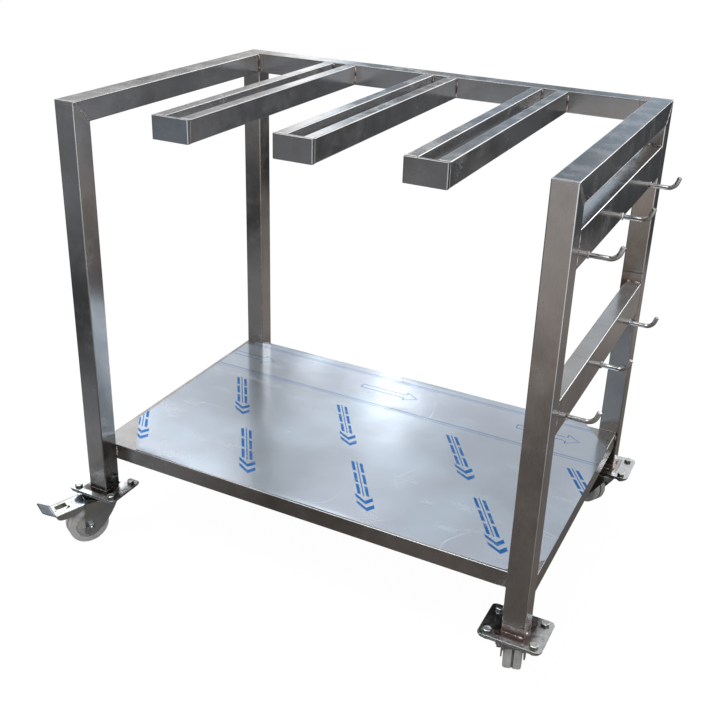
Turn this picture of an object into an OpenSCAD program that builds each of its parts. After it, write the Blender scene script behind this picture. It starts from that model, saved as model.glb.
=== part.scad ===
// Mobile rack of welded stainless tube: four posts on swivel casters, one shelf
// near the floor, three slotted arms at the top and two rails of hooks on the side.
// Millimetres. X runs along the long side, Y from the open front to the rear, Z up.

/* [Frame] */
// Length of the long side, over the posts
width = 900; // [780:10:1100]
// Depth, over the posts
depth = 620; // [540:10:760]
// Height of the top of the frame above the floor
height = 880; // [780:10:1000]
// Side of the square frame tube
tube = 40; // [34:1:46]
// Wall of all the tubes
tube_wall = 1.5; // [1:0.1:2.5]
// Outer corner radius of all the tubes
tube_corner = 3; // [2:0.5:4]

/* [Arms] */
// Width of each of an arm's two flat tubes
arm_tube_w = 20; // [14:1:24]
// Width of the slot between an arm's two tubes
arm_slot_w = 30; // [22:1:36]
// Distance from one arm to the next
arm_pitch = 222.5; // [190:2.5:235]
// How far the middle arm lies to the right of the frame's middle
arm_shift = 8; // [-20:1:20]
// How far the left arm's front end stands behind the front of the posts
left_arm_setback = 1; // [-10:1:20]
// How far the middle arm's front end stands behind the front of the posts
middle_arm_setback = 6; // [-10:1:20]
// How far the right arm's front end stands behind the front of the posts
right_arm_setback = -4; // [-10:1:20]
// Thickness of the plate that closes an arm's front end
arm_plate_t = 8; // [3:1:12]
// Corner radius of that plate, seen from above
arm_plate_corner = 3; // [1:0.5:5]

/* [Hook rails] */
// Height of a hook rail
rail_h = 60; // [40:1:70]
// Depth of a hook rail, across the rack
rail_d = 30; // [20:1:34]
// From the top of the frame down to the top of the upper rail
upper_rail_drop = 77; // [60:1:120]
// From the top of the frame down to the top of the lower rail
lower_rail_drop = 346; // [280:1:400]
// Diameter of the hooks' round bar
hook_d = 8; // [6:0.5:10]
// Straight stretch of a hook, out from the rail
hook_run = 30; // [20:1:45]
// Bend radius of a hook, on the bar's centre line
hook_bend = 17; // [12:1:22]
// Angle that a hook turns up through
hook_angle = 72; // [50:1:88]
// Straight tip of a hook, past its bend
hook_tip = 10; // [4:1:20]
// From the front of the frame to the first hook
hook_first = 100; // [80:1:130]
// Distance from one hook to the next
hook_pitch = 206; // [160:1:215]

/* [Shelf] */
// Height of the shelf's top above the floor
shelf_z = 200; // [180:1:300]
// Sheet thickness of the shelf
shelf_t = 1.2; // [1:0.1:2]
// Depth of the shelf's turned-down edges
shelf_edge = 32; // [25:1:45]
// How far the shelf's ends stand inside the outer faces of the posts
shelf_inset = 4; // [0:1:10]
// Thickness of the protective film on the shelf
film_t = 0.1; // [0.1:0.05:0.3]
// Bare margin between the film and the shelf's left and front edges
film_margin = 9; // [4:1:20]
// Length of the film's cut corners beside the posts
film_cut = 34; // [20:1:50]
// Width of the stiffener under the shelf
stiffener_w = 60; // [40:1:80]
// Depth of the stiffener
stiffener_h = 25; // [15:1:28]
// Width of the stiffener's welding flanges
stiffener_flange = 15; // [10:1:20]

/* [Plates and bolts] */
// Length of a foot plate, along the rack
foot_l = 110; // [105:1:130]
// Width of a foot plate
foot_w = 85; // [80:1:100]
// Thickness of a foot plate
foot_t = 3; // [2:0.5:5]
// Length of a caster's top plate
plate_l = 105; // [100:1:110]
// Width of a caster's top plate
plate_w = 85; // [80:1:90]
// Thickness of a caster's top plate
plate_t = 3; // [2:0.5:4]
// Corner radius of the plates
plate_corner = 8; // [4:1:12]
// Distance between bolts along the plates
bolt_dx = 80; // [76:1:84]
// Distance between bolts across the plates
bolt_dy = 60; // [58:1:64]
// Diameter of the mounting bolts
bolt_d = 8; // [6:1:8]
// Width across flats of their heads and nuts
bolt_flats = 13; // [10:1:13]
// Height of their heads
bolt_head_h = 5.3; // [4:0.1:6]
// Height of their nuts
bolt_nut_h = 6.5; // [4:0.5:7]
// Thread that shows below a nut
bolt_tail = 2; // [1:0.5:2.5]

/* [Casters] */
// Wheel diameter
wheel_d = 80; // [70:1:84]
// Wheel width over the tread
wheel_w = 32; // [26:1:33]
// Rounding of the tread's edges
wheel_edge = 4; // [2:0.5:6]
// Width of the groove around the tread
groove_w = 4; // [2:0.5:6]
// Depth of that groove
groove_depth = 1.5; // [0.5:0.5:3]
// From a caster's swivel axis to its axle
trail = 42; // [38:1:45]
// Room from the top of a wheel to the underside of its top plate
caster_room = 26; // [24:1:32]
// Overall width of a fork
fork_w = 42; // [41:1:46]
// Sheet thickness of a fork
fork_t = 2.5; // [2:0.1:3]
// Diameter of the axle
axle_d = 10; // [8:1:12]
// Width across flats of the axle's head and nut
axle_flats = 16; // [15:1:17]
// Diameter of the kingpin
kingpin_d = 10; // [8:1:12]
// Height of the ball race between the top plate and the fork
race_h = 12; // [9:1:13]
// Outer diameter of the ball race
race_d = 44; // [36:1:48]
// Direction of the front left wheel behind its swivel axis, from +X
yaw_front_left = 240; // [228:1:252]
// Direction of the front right wheel
yaw_front_right = 106; // [90:1:130]
// Direction of the rear left wheel
yaw_rear_left = 20; // [0:1:25]
// Direction of the rear right wheel
yaw_rear_right = 150; // [140:1:155]

/* [Brakes] */
// Length of a pedal's flat top
pedal_l = 58; // [50:1:66]
// How far the pedal's top falls along that length
pedal_fall = 8.4; // [6:0.1:10]
// Length of the pedal's turned-up lip, measured level
lip_l = 23; // [16:1:28]
// Rise of that lip
lip_rise = 15.5; // [12:0.5:17]
// Sheet thickness of a pedal
pedal_t = 1.5; // [1.2:0.1:2]
// Diameter of the pin that a pedal turns on
pin_d = 5; // [4:0.5:6]
// Angle that a pedal goes down through to lock its wheel
brake_travel = 8; // [4:1:10]
// Thickness of the brake shoe
shoe_t = 3; // [2:0.5:3.5]
// Width of the brake shoe
shoe_w = 28; // [20:1:30]

/* [Fits] */
// Radial running clearance of pins and axles
running_fit = 0.08; // [0.02:0.01:0.1]
// Radial clearance of fastened pins in their holes
seat_fit = 0.02; // [0.02:0.01:0.05]
// Gap between faces that turn past each other
turning_gap = 0.3; // [0.2:0.1:0.5]
// Radial clearance of the mounting bolts in the plates
bolt_clearance = 0.5; // [0.3:0.1:0.7]

/* [Hidden] */
$fn = 48;
arm_w = 2 * arm_tube_w + arm_slot_w;
arm_setbacks = [left_arm_setback, middle_arm_setback, right_arm_setback];
axle_z = wheel_d / 2;
plate_z = wheel_d + caster_room;
foot_z = plate_z + plate_t;
post_z = foot_z + foot_t;
rear_y = depth - tube;
post_axis = tube / 2;
inner_tube_corner = max(tube_corner - tube_wall, 0.2);

// The fork's outline, in the plane of its wheel, with s behind the swivel axis
crown_z = plate_z - race_h;
leg_z = crown_z - 2;
fork_nose = 24.5;
crown_back = 22;
leg_s = trail + 7;
leg_foot_s = trail + 12;
fork_half = fork_w / 2;
inner_half = fork_half - fork_t;
side_outline = [
    [leg_s, leg_z], [leg_foot_s, axle_z - 15], [leg_foot_s - 1, axle_z - 17.5],
    [trail, axle_z - 18], [trail - 8, axle_z - 16.4], [trail - 25, axle_z - 10],
    [trail - 38.7, axle_z + 8.5], [-fork_nose, leg_z - 5.4], [-fork_nose, crown_z],
    [crown_back, crown_z], [crown_back + 4, leg_z]
];

// The pedal's outline in the same plane
pin_z = wheel_d + 6;
pedal_s = leg_s + 1.5;
pedal_z = leg_z + 2.4;
bend_s = pedal_s + pedal_l;
bend_z = pedal_z - pedal_fall;
lip_s = bend_s + lip_l;
skirt_h = 14;
window_l = 22;
window_w = 22;
notch_l = 4;
notch_w = 8;
ear_half = inner_half - 0.4;
ear_r = pin_d / 2 + 2;
shoe_low = 38;
shoe_high = 72;
shoe_r = wheel_d / 2 + (pin_z - axle_z) * sin(brake_travel) * cos(shoe_low - brake_travel)
    + turning_gap;

// Where the sides of the whole rack's box lie, to put the origin below its middle
hook_reach = hook_run + hook_bend * sin(hook_angle) + hook_tip * cos(hook_angle)
    + hook_d / 2 * sin(hook_angle);
left_x = post_axis + lip_s * cos(yaw_front_left) - fork_half * abs(sin(yaw_front_left));
right_x = width + hook_reach;
front_y = post_axis + lip_s * sin(yaw_front_left) - fork_half * abs(cos(yaw_front_left));
back_y = depth - post_axis + trail * sin(yaw_rear_right) + wheel_edge
    + (wheel_d / 2 - wheel_edge) * abs(sin(yaw_rear_right))
    + (wheel_w / 2 - wheel_edge) * abs(cos(yaw_rear_right));
middle = [(left_x + right_x) / 2, (front_y + back_y) / 2, 0];
far = 2 * (width + depth + height);

steel = [0.62, 0.63, 0.64];
bright_steel = [0.74, 0.75, 0.76];
zinc = [0.55, 0.58, 0.57];
spangle = [0.72, 0.73, 0.74];
grey = [0.68, 0.68, 0.67];
film_blue = [0.72, 0.82, 0.93];

// Puts a piece that is drawn from the front left corner into the rack's own frame
module placed() {
    translate(-middle) children();
}

// Moves a piece that is drawn on a vertical axis onto a post's axis and turns it
module at_post(right, rear, yaw = 0) {
    x = right ? width - post_axis : post_axis;
    y = rear ? depth - post_axis : post_axis;
    placed() translate([x, y, 0]) rotate([0, 0, yaw]) children();
}

// Stands an outline of s and z upright, centred on the wheel's plane
module upright(thickness) {
    rotate([90, 0, 0]) linear_extrude(thickness, center = true) children();
}

// A rectangle with true round corners, centred
module rounded(size, r) {
    square([size.x - 2 * r, size.y], center = true);
    square([size.x, size.y - 2 * r], center = true);
    for (x = [-1, 1], y = [-1, 1])
        translate([x * (size.x / 2 - r), y * (size.y / 2 - r)]) circle(r);
}

// The section of a tube of a given outer size, centred
module tube_section(size) {
    difference() {
        rounded(size, tube_corner);
        rounded([size.x - 2 * tube_wall, size.y - 2 * tube_wall], inner_tube_corner);
    }
}

// A tube along Y, from a corner at the lower left front
module tube_along_y(corner, size, length) {
    translate([corner.x + size.x / 2, corner.y + length, corner.z + size.y / 2])
        rotate([90, 0, 0]) linear_extrude(length) tube_section(size);
}

// All the room over (side 0) or under (side -1) the slanted joint of the front top corner
module beyond_mitre(side) {
    translate([0, 0, height]) rotate([-45, 0, 0])
        translate([-far / 2, -far / 2, side * far]) cube(far);
}

// Draws a piece of the front as it is, or turned round to the rear
module front_or_rear(rear) {
    if (rear) translate([0, depth, 0]) mirror([0, 1, 0]) children();
    else children();
}

module post(right, rear) {
    color(steel) placed() front_or_rear(rear) difference() {
        translate([right ? width - post_axis : post_axis, post_axis, post_z])
            linear_extrude(height - post_z) tube_section([tube, tube]);
        beyond_mitre(0);
    }
}

module side_top_rail(right) {
    color(steel) placed() difference() {
        tube_along_y([right ? width - tube : 0, 0, height - tube], [tube, tube], depth);
        beyond_mitre(-1);
        front_or_rear(true) beyond_mitre(-1);
    }
}

module rear_top_rail() {
    color(steel) placed() translate([tube, rear_y + tube / 2, height - tube / 2])
        rotate([90, 0, 90]) linear_extrude(width - 2 * tube) tube_section([tube, tube]);
}

// Left side of an arm: 0 is the left arm, 1 the middle one and 2 the right one
function arm_x(i) = width / 2 + arm_shift + (i - 1) * arm_pitch - arm_w / 2;

module arm_tube(i, right) {
    x = arm_x(i) + (right ? arm_tube_w + arm_slot_w : 0);
    y = arm_setbacks[i] + arm_plate_t;
    color(steel) placed()
        tube_along_y([x, y, height - tube], [arm_tube_w, tube], rear_y - y);
}

module arm_end_plate(i) {
    color(bright_steel) placed()
        translate([arm_x(i) + arm_w / 2, arm_setbacks[i] + arm_plate_t / 2, height - tube])
        linear_extrude(tube) rounded([arm_w, arm_plate_t], min(arm_plate_corner, arm_plate_t / 2 - 0.1));
}

module hook_rail(drop) {
    color(steel) placed()
        tube_along_y([width - rail_d, tube, height - drop - rail_h], [rail_d, rail_h], depth - 2 * tube);
}

// One hook, from its root on the rail's face
module hook() {
    rotate([0, 90, 0]) cylinder(h = hook_run, d = hook_d);
    translate([hook_run, 0, hook_bend]) rotate([90, 0, 0]) rotate([0, 0, -90])
        rotate_extrude(angle = hook_angle) translate([hook_bend, 0]) circle(d = hook_d);
    translate([hook_run, 0, hook_bend]) rotate([0, -hook_angle, 0]) translate([0, 0, -hook_bend])
        rotate([0, 90, 0]) cylinder(h = hook_tip, d = hook_d);
}

module hooks(drop) {
    color(bright_steel) placed()
        for (i = [0:2])
            translate([width, hook_first + i * hook_pitch, height - drop - rail_h + hook_d / 2]) hook();
}

module shelf_tray() {
    size = [width - 2 * shelf_inset, depth - 2 * tube];
    color(steel) placed() translate([shelf_inset, tube, shelf_z - shelf_edge]) difference() {
        cube([size.x, size.y, shelf_edge]);
        translate([shelf_t, shelf_t, -shelf_t])
            cube([size.x - 2 * shelf_t, size.y - 2 * shelf_t, shelf_edge]);
    }
}

// A folded strip under the middle of the shelf, open to the top, with a flange each side
module shelf_stiffener() {
    length = width - 2 * shelf_inset - 2 * shelf_t;
    t = shelf_t;
    color(steel) placed() translate([width / 2, depth / 2, shelf_z - shelf_t - stiffener_h])
        rotate([90, 0, 90]) linear_extrude(length, center = true) {
            translate([-stiffener_w / 2, 0]) square([stiffener_w, t]);
            for (side = [-1, 1]) {
                translate([side * (stiffener_w - t) / 2 - t / 2, 0]) square([t, stiffener_h]);
                translate([side * (stiffener_w + stiffener_flange - t) / 2 - stiffener_flange / 2,
                    stiffener_h - t]) square([stiffener_flange, t]);
            }
        }
}

module protective_film() {
    x0 = shelf_inset + film_margin;
    x1 = width - shelf_inset;
    y0 = tube + film_margin;
    y1 = rear_y;
    cut = film_cut;
    color(film_blue) placed() translate([0, 0, shelf_z]) linear_extrude(film_t) polygon([
        [x0 + cut, y0], [x1 - cut, y0], [x1, y0 + cut], [x1, y1 - cut],
        [x1 - cut, y1], [x0 + cut, y1], [x0, y1 - cut], [x0, y0 + cut]
    ]);
}

// A plate with rounded corners and the four bolt holes, from its underside
module bolted_plate(size, t) {
    linear_extrude(t) difference() {
        rounded(size, plate_corner);
        at_bolts() circle(d = bolt_d + 2 * bolt_clearance);
    }
}

module at_bolts() {
    for (x = [-1, 1], y = [-1, 1])
        translate([x * bolt_dx / 2, y * bolt_dy / 2]) children();
}

module foot_plate(right, rear) {
    color(spangle) at_post(right, rear) translate([0, 0, foot_z])
        bolted_plate([foot_l, foot_w], foot_t);
}

// A hexagon of a given width across flats
module hexagon(flats) {
    circle(d = flats / cos(30), $fn = 6);
}

module at_all_bolts() {
    for (right = [false, true], rear = [false, true])
        at_post(right, rear) at_bolts() children();
}

module mounting_bolts() {
    color(zinc) at_all_bolts() {
        translate([0, 0, post_z]) linear_extrude(bolt_head_h) hexagon(bolt_flats);
        translate([0, 0, plate_z - bolt_nut_h - bolt_tail])
            cylinder(h = post_z - plate_z + bolt_nut_h + bolt_tail, d = bolt_d);
    }
}

module mounting_nuts() {
    color(zinc) at_all_bolts() translate([0, 0, plate_z - bolt_nut_h])
        linear_extrude(bolt_nut_h) difference() {
            hexagon(bolt_flats);
            circle(d = bolt_d + 2 * seat_fit);
        }
}

module top_plate(right, rear) {
    color(zinc) at_post(right, rear) translate([0, 0, plate_z]) difference() {
        bolted_plate([plate_l, plate_w], plate_t);
        translate([0, 0, -1]) cylinder(h = plate_t + 2, d = kingpin_d + 2 * seat_fit);
    }
}

// The ring that holds the balls, under the top plate, a little wider at the plate
module ball_race(right, rear) {
    z = crown_z + turning_gap;
    rim = 3;
    color(zinc) at_post(right, rear) difference() {
        union() {
            translate([0, 0, z]) cylinder(h = plate_z - z, d = race_d - 2 * rim);
            translate([0, 0, plate_z - rim]) cylinder(h = rim, d = race_d);
        }
        translate([0, 0, z - 1]) cylinder(h = plate_z, d = kingpin_d + 2);
    }
}

// The rivet that the fork turns on, flush in the top plate, with a head below the fork
module kingpin(right, rear) {
    head_z = crown_z - fork_t - turning_gap;
    head_h = 4;
    color(zinc) at_post(right, rear) {
        translate([0, 0, head_z - head_h]) cylinder(h = foot_z - head_z + head_h, d = kingpin_d);
        translate([0, 0, head_z - head_h]) cylinder(h = head_h, d = kingpin_d + 8);
    }
}

// The fork's plan, with a round nose, at a given inset from its outer face
module fork_plan(inset) {
    r = fork_half - inset;
    translate([fork_half - fork_nose, 0]) circle(r);
    translate([fork_half - fork_nose, -r]) square([leg_foot_s + fork_nose, 2 * r]);
}

module fork(right, rear, yaw, braked) {
    color(zinc) at_post(right, rear, yaw) difference() {
        intersection() {
            linear_extrude(plate_z) fork_plan(0);
            upright(fork_w) polygon(side_outline);
        }
        translate([0, 0, -1]) linear_extrude(crown_z - fork_t + 1) fork_plan(fork_t);
        translate([crown_back, -inner_half, 0]) cube([far, 2 * inner_half, plate_z]);
        cylinder(h = plate_z, d = kingpin_d + 2 * running_fit);
        translate([trail, 0, axle_z]) across(fork_w + 2, axle_d / 2 + seat_fit);
        if (braked) translate([trail, 0, pin_z]) across(fork_w + 2, pin_d / 2 + seat_fit);
    }
}

// A round bar across the wheel's plane
module across(length, r) {
    rotate([90, 0, 0]) cylinder(h = length, r = r, center = true);
}

// Half of the wheel's section, from its bore out to the tread and round its edge
function wheel_half() = let(
    hub = inner_half - turning_gap,
    rim_r = wheel_d / 2 - 12,
    half = wheel_w / 2
) [
    [axle_d / 2 + running_fit, hub], [axle_d / 2 + 7, hub], [axle_d / 2 + 8, half - 7],
    [rim_r - 2, half - 7], [rim_r, half],
    for (i = [0:4]) let(a = i * 22.5)
        [wheel_d / 2 - wheel_edge + wheel_edge * sin(a), half - wheel_edge + wheel_edge * cos(a)],
    [wheel_d / 2, groove_w / 2], [wheel_d / 2 - groove_depth, groove_w / 2]
];

module wheel(right, rear, yaw) {
    near = wheel_half();
    far_side = [for (i = [len(near) - 1:-1:0]) [near[i].x, -near[i].y]];
    color(grey) at_post(right, rear, yaw) translate([trail, 0, axle_z]) rotate([90, 0, 0])
        rotate_extrude($fn = 96) polygon(concat(near, far_side));
}

// The axle bolt across the fork, with its nut on the other side
module axle(right, rear, yaw) {
    head_h = 6.4;
    nut_h = 8;
    tail = 2;
    color(zinc) at_post(right, rear, yaw) translate([trail, 0, axle_z]) {
        translate([0, -fork_half - head_h, 0]) rotate([-90, 0, 0])
            cylinder(h = fork_w + head_h + nut_h + tail, d = axle_d);
        translate([0, -fork_half, 0]) rotate([90, 0, 0]) linear_extrude(head_h) hexagon(axle_flats);
        translate([0, fork_half, 0]) rotate([-90, 0, 0]) linear_extrude(nut_h) difference() {
            hexagon(axle_flats);
            circle(d = axle_d + 2 * seat_fit);
        }
    }
}

// The pin that a pedal turns on, a little short of the fork's faces
module pedal_pin(right, yaw) {
    color(zinc) at_post(right, false, yaw) translate([trail, 0, pin_z])
        across(fork_w - 0.4, pin_d / 2);
}

// Height of the pedal's top face at a given s
function pedal_top(s) = pedal_z - pedal_fall * (s - pedal_s) / pedal_l;

// The pedal: a slanted top with a window and a lip, two skirts, and two ears on the pin
module brake_pedal(right, yaw) {
    t = pedal_t;
    lip_z = bend_z + lip_rise;
    skirt_low = bend_z - skirt_h;
    window_s = bend_s - 7 - window_l;
    color(zinc) at_post(right, false, yaw) {
        difference() {
            upright(fork_w) polygon([
                [pedal_s, pedal_z], [bend_s, bend_z], [lip_s, lip_z],
                [lip_s, lip_z - t], [bend_s, bend_z - t], [pedal_s, pedal_z - t]
            ]);
            translate([window_s, -window_w / 2, 0]) cube([window_l, window_w, plate_z]);
            translate([window_s - notch_l, window_w / 2 - notch_w, 0])
                cube([window_l + 2 * notch_l, notch_w, plate_z]);
        }
        for (side = [-1, 1])
            translate([0, side * (fork_half - t / 2), 0]) upright(t) polygon([
                [pedal_s, pedal_z - t / 2], [bend_s, bend_z - t / 2], [bend_s - 3.5, bend_z - 10],
                [bend_s - 20, skirt_low], [pedal_s + 18, skirt_low + 4], [pedal_s + 5, skirt_low + 9]
            ]);
        for (side = [-1, 1])
            translate([0, side * (ear_half - t / 2), 0]) difference() {
                upright(t) {
                    translate([trail, pin_z]) circle(ear_r);
                    polygon([
                        [trail, pin_z + ear_r], [pedal_s, leg_z], [pedal_s + 2, pedal_top(pedal_s + 2) - t / 2],
                        [pedal_s + 8, pedal_top(pedal_s + 8) - t / 2], [pedal_s + 8, pin_z],
                        [trail, pin_z - ear_r]
                    ]);
                }
                translate([trail, 0, pin_z]) across(2 * t, pin_d / 2 + running_fit);
            }
    }
}

// The shoe: a curved strip round the wheel, on a stem under the pedal's top
module brake_shoe(right, yaw) {
    stem = [trail + 16, trail + 24];
    corner = 2 * wheel_d;
    color([0.72, 0.70, 0.45]) at_post(right, false, yaw) difference() {
        union() {
            translate([trail, 0, axle_z]) intersection() {
                across(shoe_w, shoe_r + shoe_t);
                upright(shoe_w) polygon([
                    [0, 0], [corner * cos(shoe_low), corner * sin(shoe_low)],
                    [corner * cos(shoe_high), corner * sin(shoe_high)]
                ]);
            }
            upright(shoe_w / 2) polygon([
                [stem[0], axle_z], [stem[1], axle_z],
                [stem[1], pedal_top(stem[1]) - pedal_t], [stem[0], pedal_top(stem[0]) - pedal_t]
            ]);
        }
        translate([trail, 0, axle_z]) across(shoe_w + 2, shoe_r);
    }
}

post(false, false);  // front_left_post
post(true, false);  // front_right_post
post(false, true);  // rear_left_post
post(true, true);  // rear_right_post
side_top_rail(false);  // left_top_rail
side_top_rail(true);  // right_top_rail
rear_top_rail();
arm_tube(0, false);  // left_arm_left_tube
arm_tube(0, true);  // left_arm_right_tube
arm_end_plate(0);  // left_arm_end_plate
arm_tube(1, false);  // middle_arm_left_tube
arm_tube(1, true);  // middle_arm_right_tube
arm_end_plate(1);  // middle_arm_end_plate
arm_tube(2, false);  // right_arm_left_tube
arm_tube(2, true);  // right_arm_right_tube
arm_end_plate(2);  // right_arm_end_plate
hook_rail(upper_rail_drop);  // upper_hook_rail
hook_rail(lower_rail_drop);  // lower_hook_rail
hooks(upper_rail_drop);  // upper_hooks
hooks(lower_rail_drop);  // lower_hooks
shelf_tray();
shelf_stiffener();
protective_film();
foot_plate(false, false);  // front_left_foot_plate
foot_plate(true, false);  // front_right_foot_plate
foot_plate(false, true);  // rear_left_foot_plate
foot_plate(true, true);  // rear_right_foot_plate
mounting_bolts();
mounting_nuts();
top_plate(false, false);  // front_left_top_plate
top_plate(true, false);  // front_right_top_plate
top_plate(false, true);  // rear_left_top_plate
top_plate(true, true);  // rear_right_top_plate
ball_race(false, false);  // front_left_ball_race
ball_race(true, false);  // front_right_ball_race
ball_race(false, true);  // rear_left_ball_race
ball_race(true, true);  // rear_right_ball_race
kingpin(false, false);  // front_left_kingpin
kingpin(true, false);  // front_right_kingpin
kingpin(false, true);  // rear_left_kingpin
kingpin(true, true);  // rear_right_kingpin
fork(false, false, yaw_front_left, true);  // front_left_fork
fork(true, false, yaw_front_right, true);  // front_right_fork
fork(false, true, yaw_rear_left, false);  // rear_left_fork
fork(true, true, yaw_rear_right, false);  // rear_right_fork
wheel(false, false, yaw_front_left);  // front_left_wheel
wheel(true, false, yaw_front_right);  // front_right_wheel
wheel(false, true, yaw_rear_left);  // rear_left_wheel
wheel(true, true, yaw_rear_right);  // rear_right_wheel
axle(false, false, yaw_front_left);  // front_left_axle
axle(true, false, yaw_front_right);  // front_right_axle
axle(false, true, yaw_rear_left);  // rear_left_axle
axle(true, true, yaw_rear_right);  // rear_right_axle
brake_pedal(false, yaw_front_left);  // front_left_brake_pedal
brake_pedal(true, yaw_front_right);  // front_right_brake_pedal
brake_shoe(false, yaw_front_left);  // front_left_brake_shoe
brake_shoe(true, yaw_front_right);  // front_right_brake_shoe
pedal_pin(false, yaw_front_left);  // front_left_pedal_pin
pedal_pin(true, yaw_front_right);  // front_right_pedal_pin
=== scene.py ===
"""Looks of the mobile shelf rack: brushed stainless tube with its welds, a shelf under
protective film, zinc-plated casters with grey wheels, and the studio that it stands in."""
from functools import partialmethod

import bmesh
import bpy
import numpy as np
from mathutils import Euler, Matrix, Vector


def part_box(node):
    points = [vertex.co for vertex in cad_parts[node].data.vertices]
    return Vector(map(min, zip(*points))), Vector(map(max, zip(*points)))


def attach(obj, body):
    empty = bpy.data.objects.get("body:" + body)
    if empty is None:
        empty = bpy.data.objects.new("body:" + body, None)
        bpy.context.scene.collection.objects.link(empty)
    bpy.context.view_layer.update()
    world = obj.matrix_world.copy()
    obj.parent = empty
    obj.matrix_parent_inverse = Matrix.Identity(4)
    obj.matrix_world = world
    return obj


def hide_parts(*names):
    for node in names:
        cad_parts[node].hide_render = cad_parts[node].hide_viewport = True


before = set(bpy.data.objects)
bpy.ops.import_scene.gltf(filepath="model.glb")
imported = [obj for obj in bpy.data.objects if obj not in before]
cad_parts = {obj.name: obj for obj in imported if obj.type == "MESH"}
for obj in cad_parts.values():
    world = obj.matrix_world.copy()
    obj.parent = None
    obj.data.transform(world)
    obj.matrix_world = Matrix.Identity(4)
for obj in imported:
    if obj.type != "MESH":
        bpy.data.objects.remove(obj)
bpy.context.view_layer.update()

MM = 0.001

# Sizes of the frame, from its nodes
post_low, post_high = (np.array(c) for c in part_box("front_left_post"))
far_post_high = np.array(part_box("rear_right_post")[1])
TUBE = post_high[0] - post_low[0]
LEFT, FRONT = (float(v) for v in post_low[:2])
RIGHT, BACK = (float(v) for v in far_post_high[:2])
WALL = 1.5 * MM
CORNER, INNER_CORNER = 1.8 * MM, 0.6 * MM
POSTS = {
    end + "_" + side: (x, y)
    for end, y in (("front", FRONT + TUBE / 2), ("rear", BACK - TUBE / 2))
    for side, x in (("left", LEFT + TUBE / 2), ("right", RIGHT - TUBE / 2))}
ARMS = ("left", "middle", "right")

# Sizes of the small parts, in millimetres, as in the part's source
WIDTH, DEPTH, HEIGHT, SIDE = 900.0, 620.0, 880.0, 40.0
MIDDLE = (WIDTH / 2, DEPTH / 2)
RAIL_HIGH, RAIL_DEEP = 60.0, 30.0
RAIL_TOPS = {"upper": HEIGHT - 77, "lower": HEIGHT - 346}
TRAY_SIZE, TRAY_ROUND = (892, 540), 1.6
TRAY_LOW, SHELF_Z = 168.0, 200.0
PLATE_Z, FOOT_Z, HEAD_Z = 106.0, 109.0, 112.0
CROWN_Z, LEG_Z, AXLE_Z, PIN_Z = 94.0, 92.0, 40.0, 86.0
TRAIL = 42.0
BOLT_FLATS, AXLE_FLATS = 13.0, 16.0
FORK_HALF, FORK_T, FORK_NOSE = 21.0, 2.5, 24.5
YAWS = {"front_left": 240, "front_right": 106, "rear_left": 20, "rear_right": 150}
HOOK_Z = {"upper": 747.0, "lower": 478.0}
HOOK_Y = (100.0, 306.0, 512.0)
RUN, BEND, BEND_ANGLE, TIP, BAR = 30.0, 17.0, np.radians(72), 10.0, 4.0

# Shapes. A shape is its points, its four-sided faces and its flat end faces


def full_turn(steps):
    """Angles all round, without the last one that would meet the first."""
    return np.linspace(0, 2 * np.pi, steps, endpoint=False)


def quarter_turn(steps):
    return np.linspace(0, np.pi / 2, steps)


def unit(vectors):
    """The same vectors, one per row, with a length of one."""
    return vectors / np.linalg.norm(vectors, axis=1, keepdims=True)


def rack(x, y, z):
    """Points given in millimetres from the front left corner of the frame and from the floor."""
    x, y, z = np.broadcast_arrays(np.asarray(x, float), y, z)
    return np.stack([LEFT + x * MM, FRONT + y * MM, z * MM], axis=-1)


def caster(place, s, lateral, z, turned=True):
    """Points of a caster in millimetres: how far behind its swivel axis, how far to the left of its
    wheel's plane, and how high. Unturned, they are along the rack, across it and up."""
    angle = np.radians(YAWS[place] if turned else 0)
    s, lateral, z = np.broadcast_arrays(np.asarray(s, float), lateral, z)
    x = POSTS[place][0] + MM * (s * np.cos(angle) - lateral * np.sin(angle))
    y = POSTS[place][1] + MM * (s * np.sin(angle) + lateral * np.cos(angle))
    return np.stack([x, y, MM * z], axis=-1)


def sheet_of(grid, around=False, back_to_start=False, closed=False, keep=None):
    """The shape of a grid of points [row, column]. It may go around from its last column to its
    first, and from its last row to its first, or have its first and last rows closed flat."""
    rows, columns = grid.shape[:2]
    index = np.arange(rows * columns).reshape(rows, columns)
    if around:
        index = np.concatenate([index, index[:, :1]], axis=1)
    if back_to_start:
        index = np.concatenate([index, index[:1]], axis=0)
    quads = np.stack([index[:-1, :-1], index[:-1, 1:], index[1:, 1:], index[1:, :-1]], axis=-1)
    quads = quads.reshape(-1, 4) if keep is None else quads[keep]
    ends = []
    if closed:
        ends = [np.arange(columns)[::-1], np.arange((rows - 1) * columns, rows * columns)]
    return grid.reshape(-1, 3), quads, ends


def solid(grid):
    """The closed shape of a grid that goes around, with flat ends."""
    return sheet_of(grid, around=True, closed=True)


def ring(grid):
    """The closed shape of a grid that goes around both ways."""
    return sheet_of(grid, around=True, back_to_start=True)


def outward(shape, inside=None):
    """The same shape with its faces turned to look away from a point inside it."""
    points, quads, ends = shape
    inside = points.mean(axis=0) if inside is None else np.asarray(inside)
    a, b, c, d = (points[quads[:, i]] - inside for i in range(4))
    flux = (np.cross(c - a, d - b) * (a + b + c + d)).sum() / 8
    for end in ends:
        rim = points[end] - inside
        flux += (np.cross(rim, np.roll(rim, -1, axis=0)).sum(axis=0) * rim.mean(axis=0)).sum() / 2
    if flux < 0:
        quads, ends = quads[:, ::-1], [end[::-1] for end in ends]
    return points, quads, ends


def in_scene(name, data):
    """A new object of the scene."""
    obj = bpy.data.objects.new(name, data)
    bpy.context.scene.collection.objects.link(obj)
    return obj


def set_up(thing, **values):
    """Gives a new thing of Blender's its values."""
    for key, value in values.items():
        setattr(thing, key, value)


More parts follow.
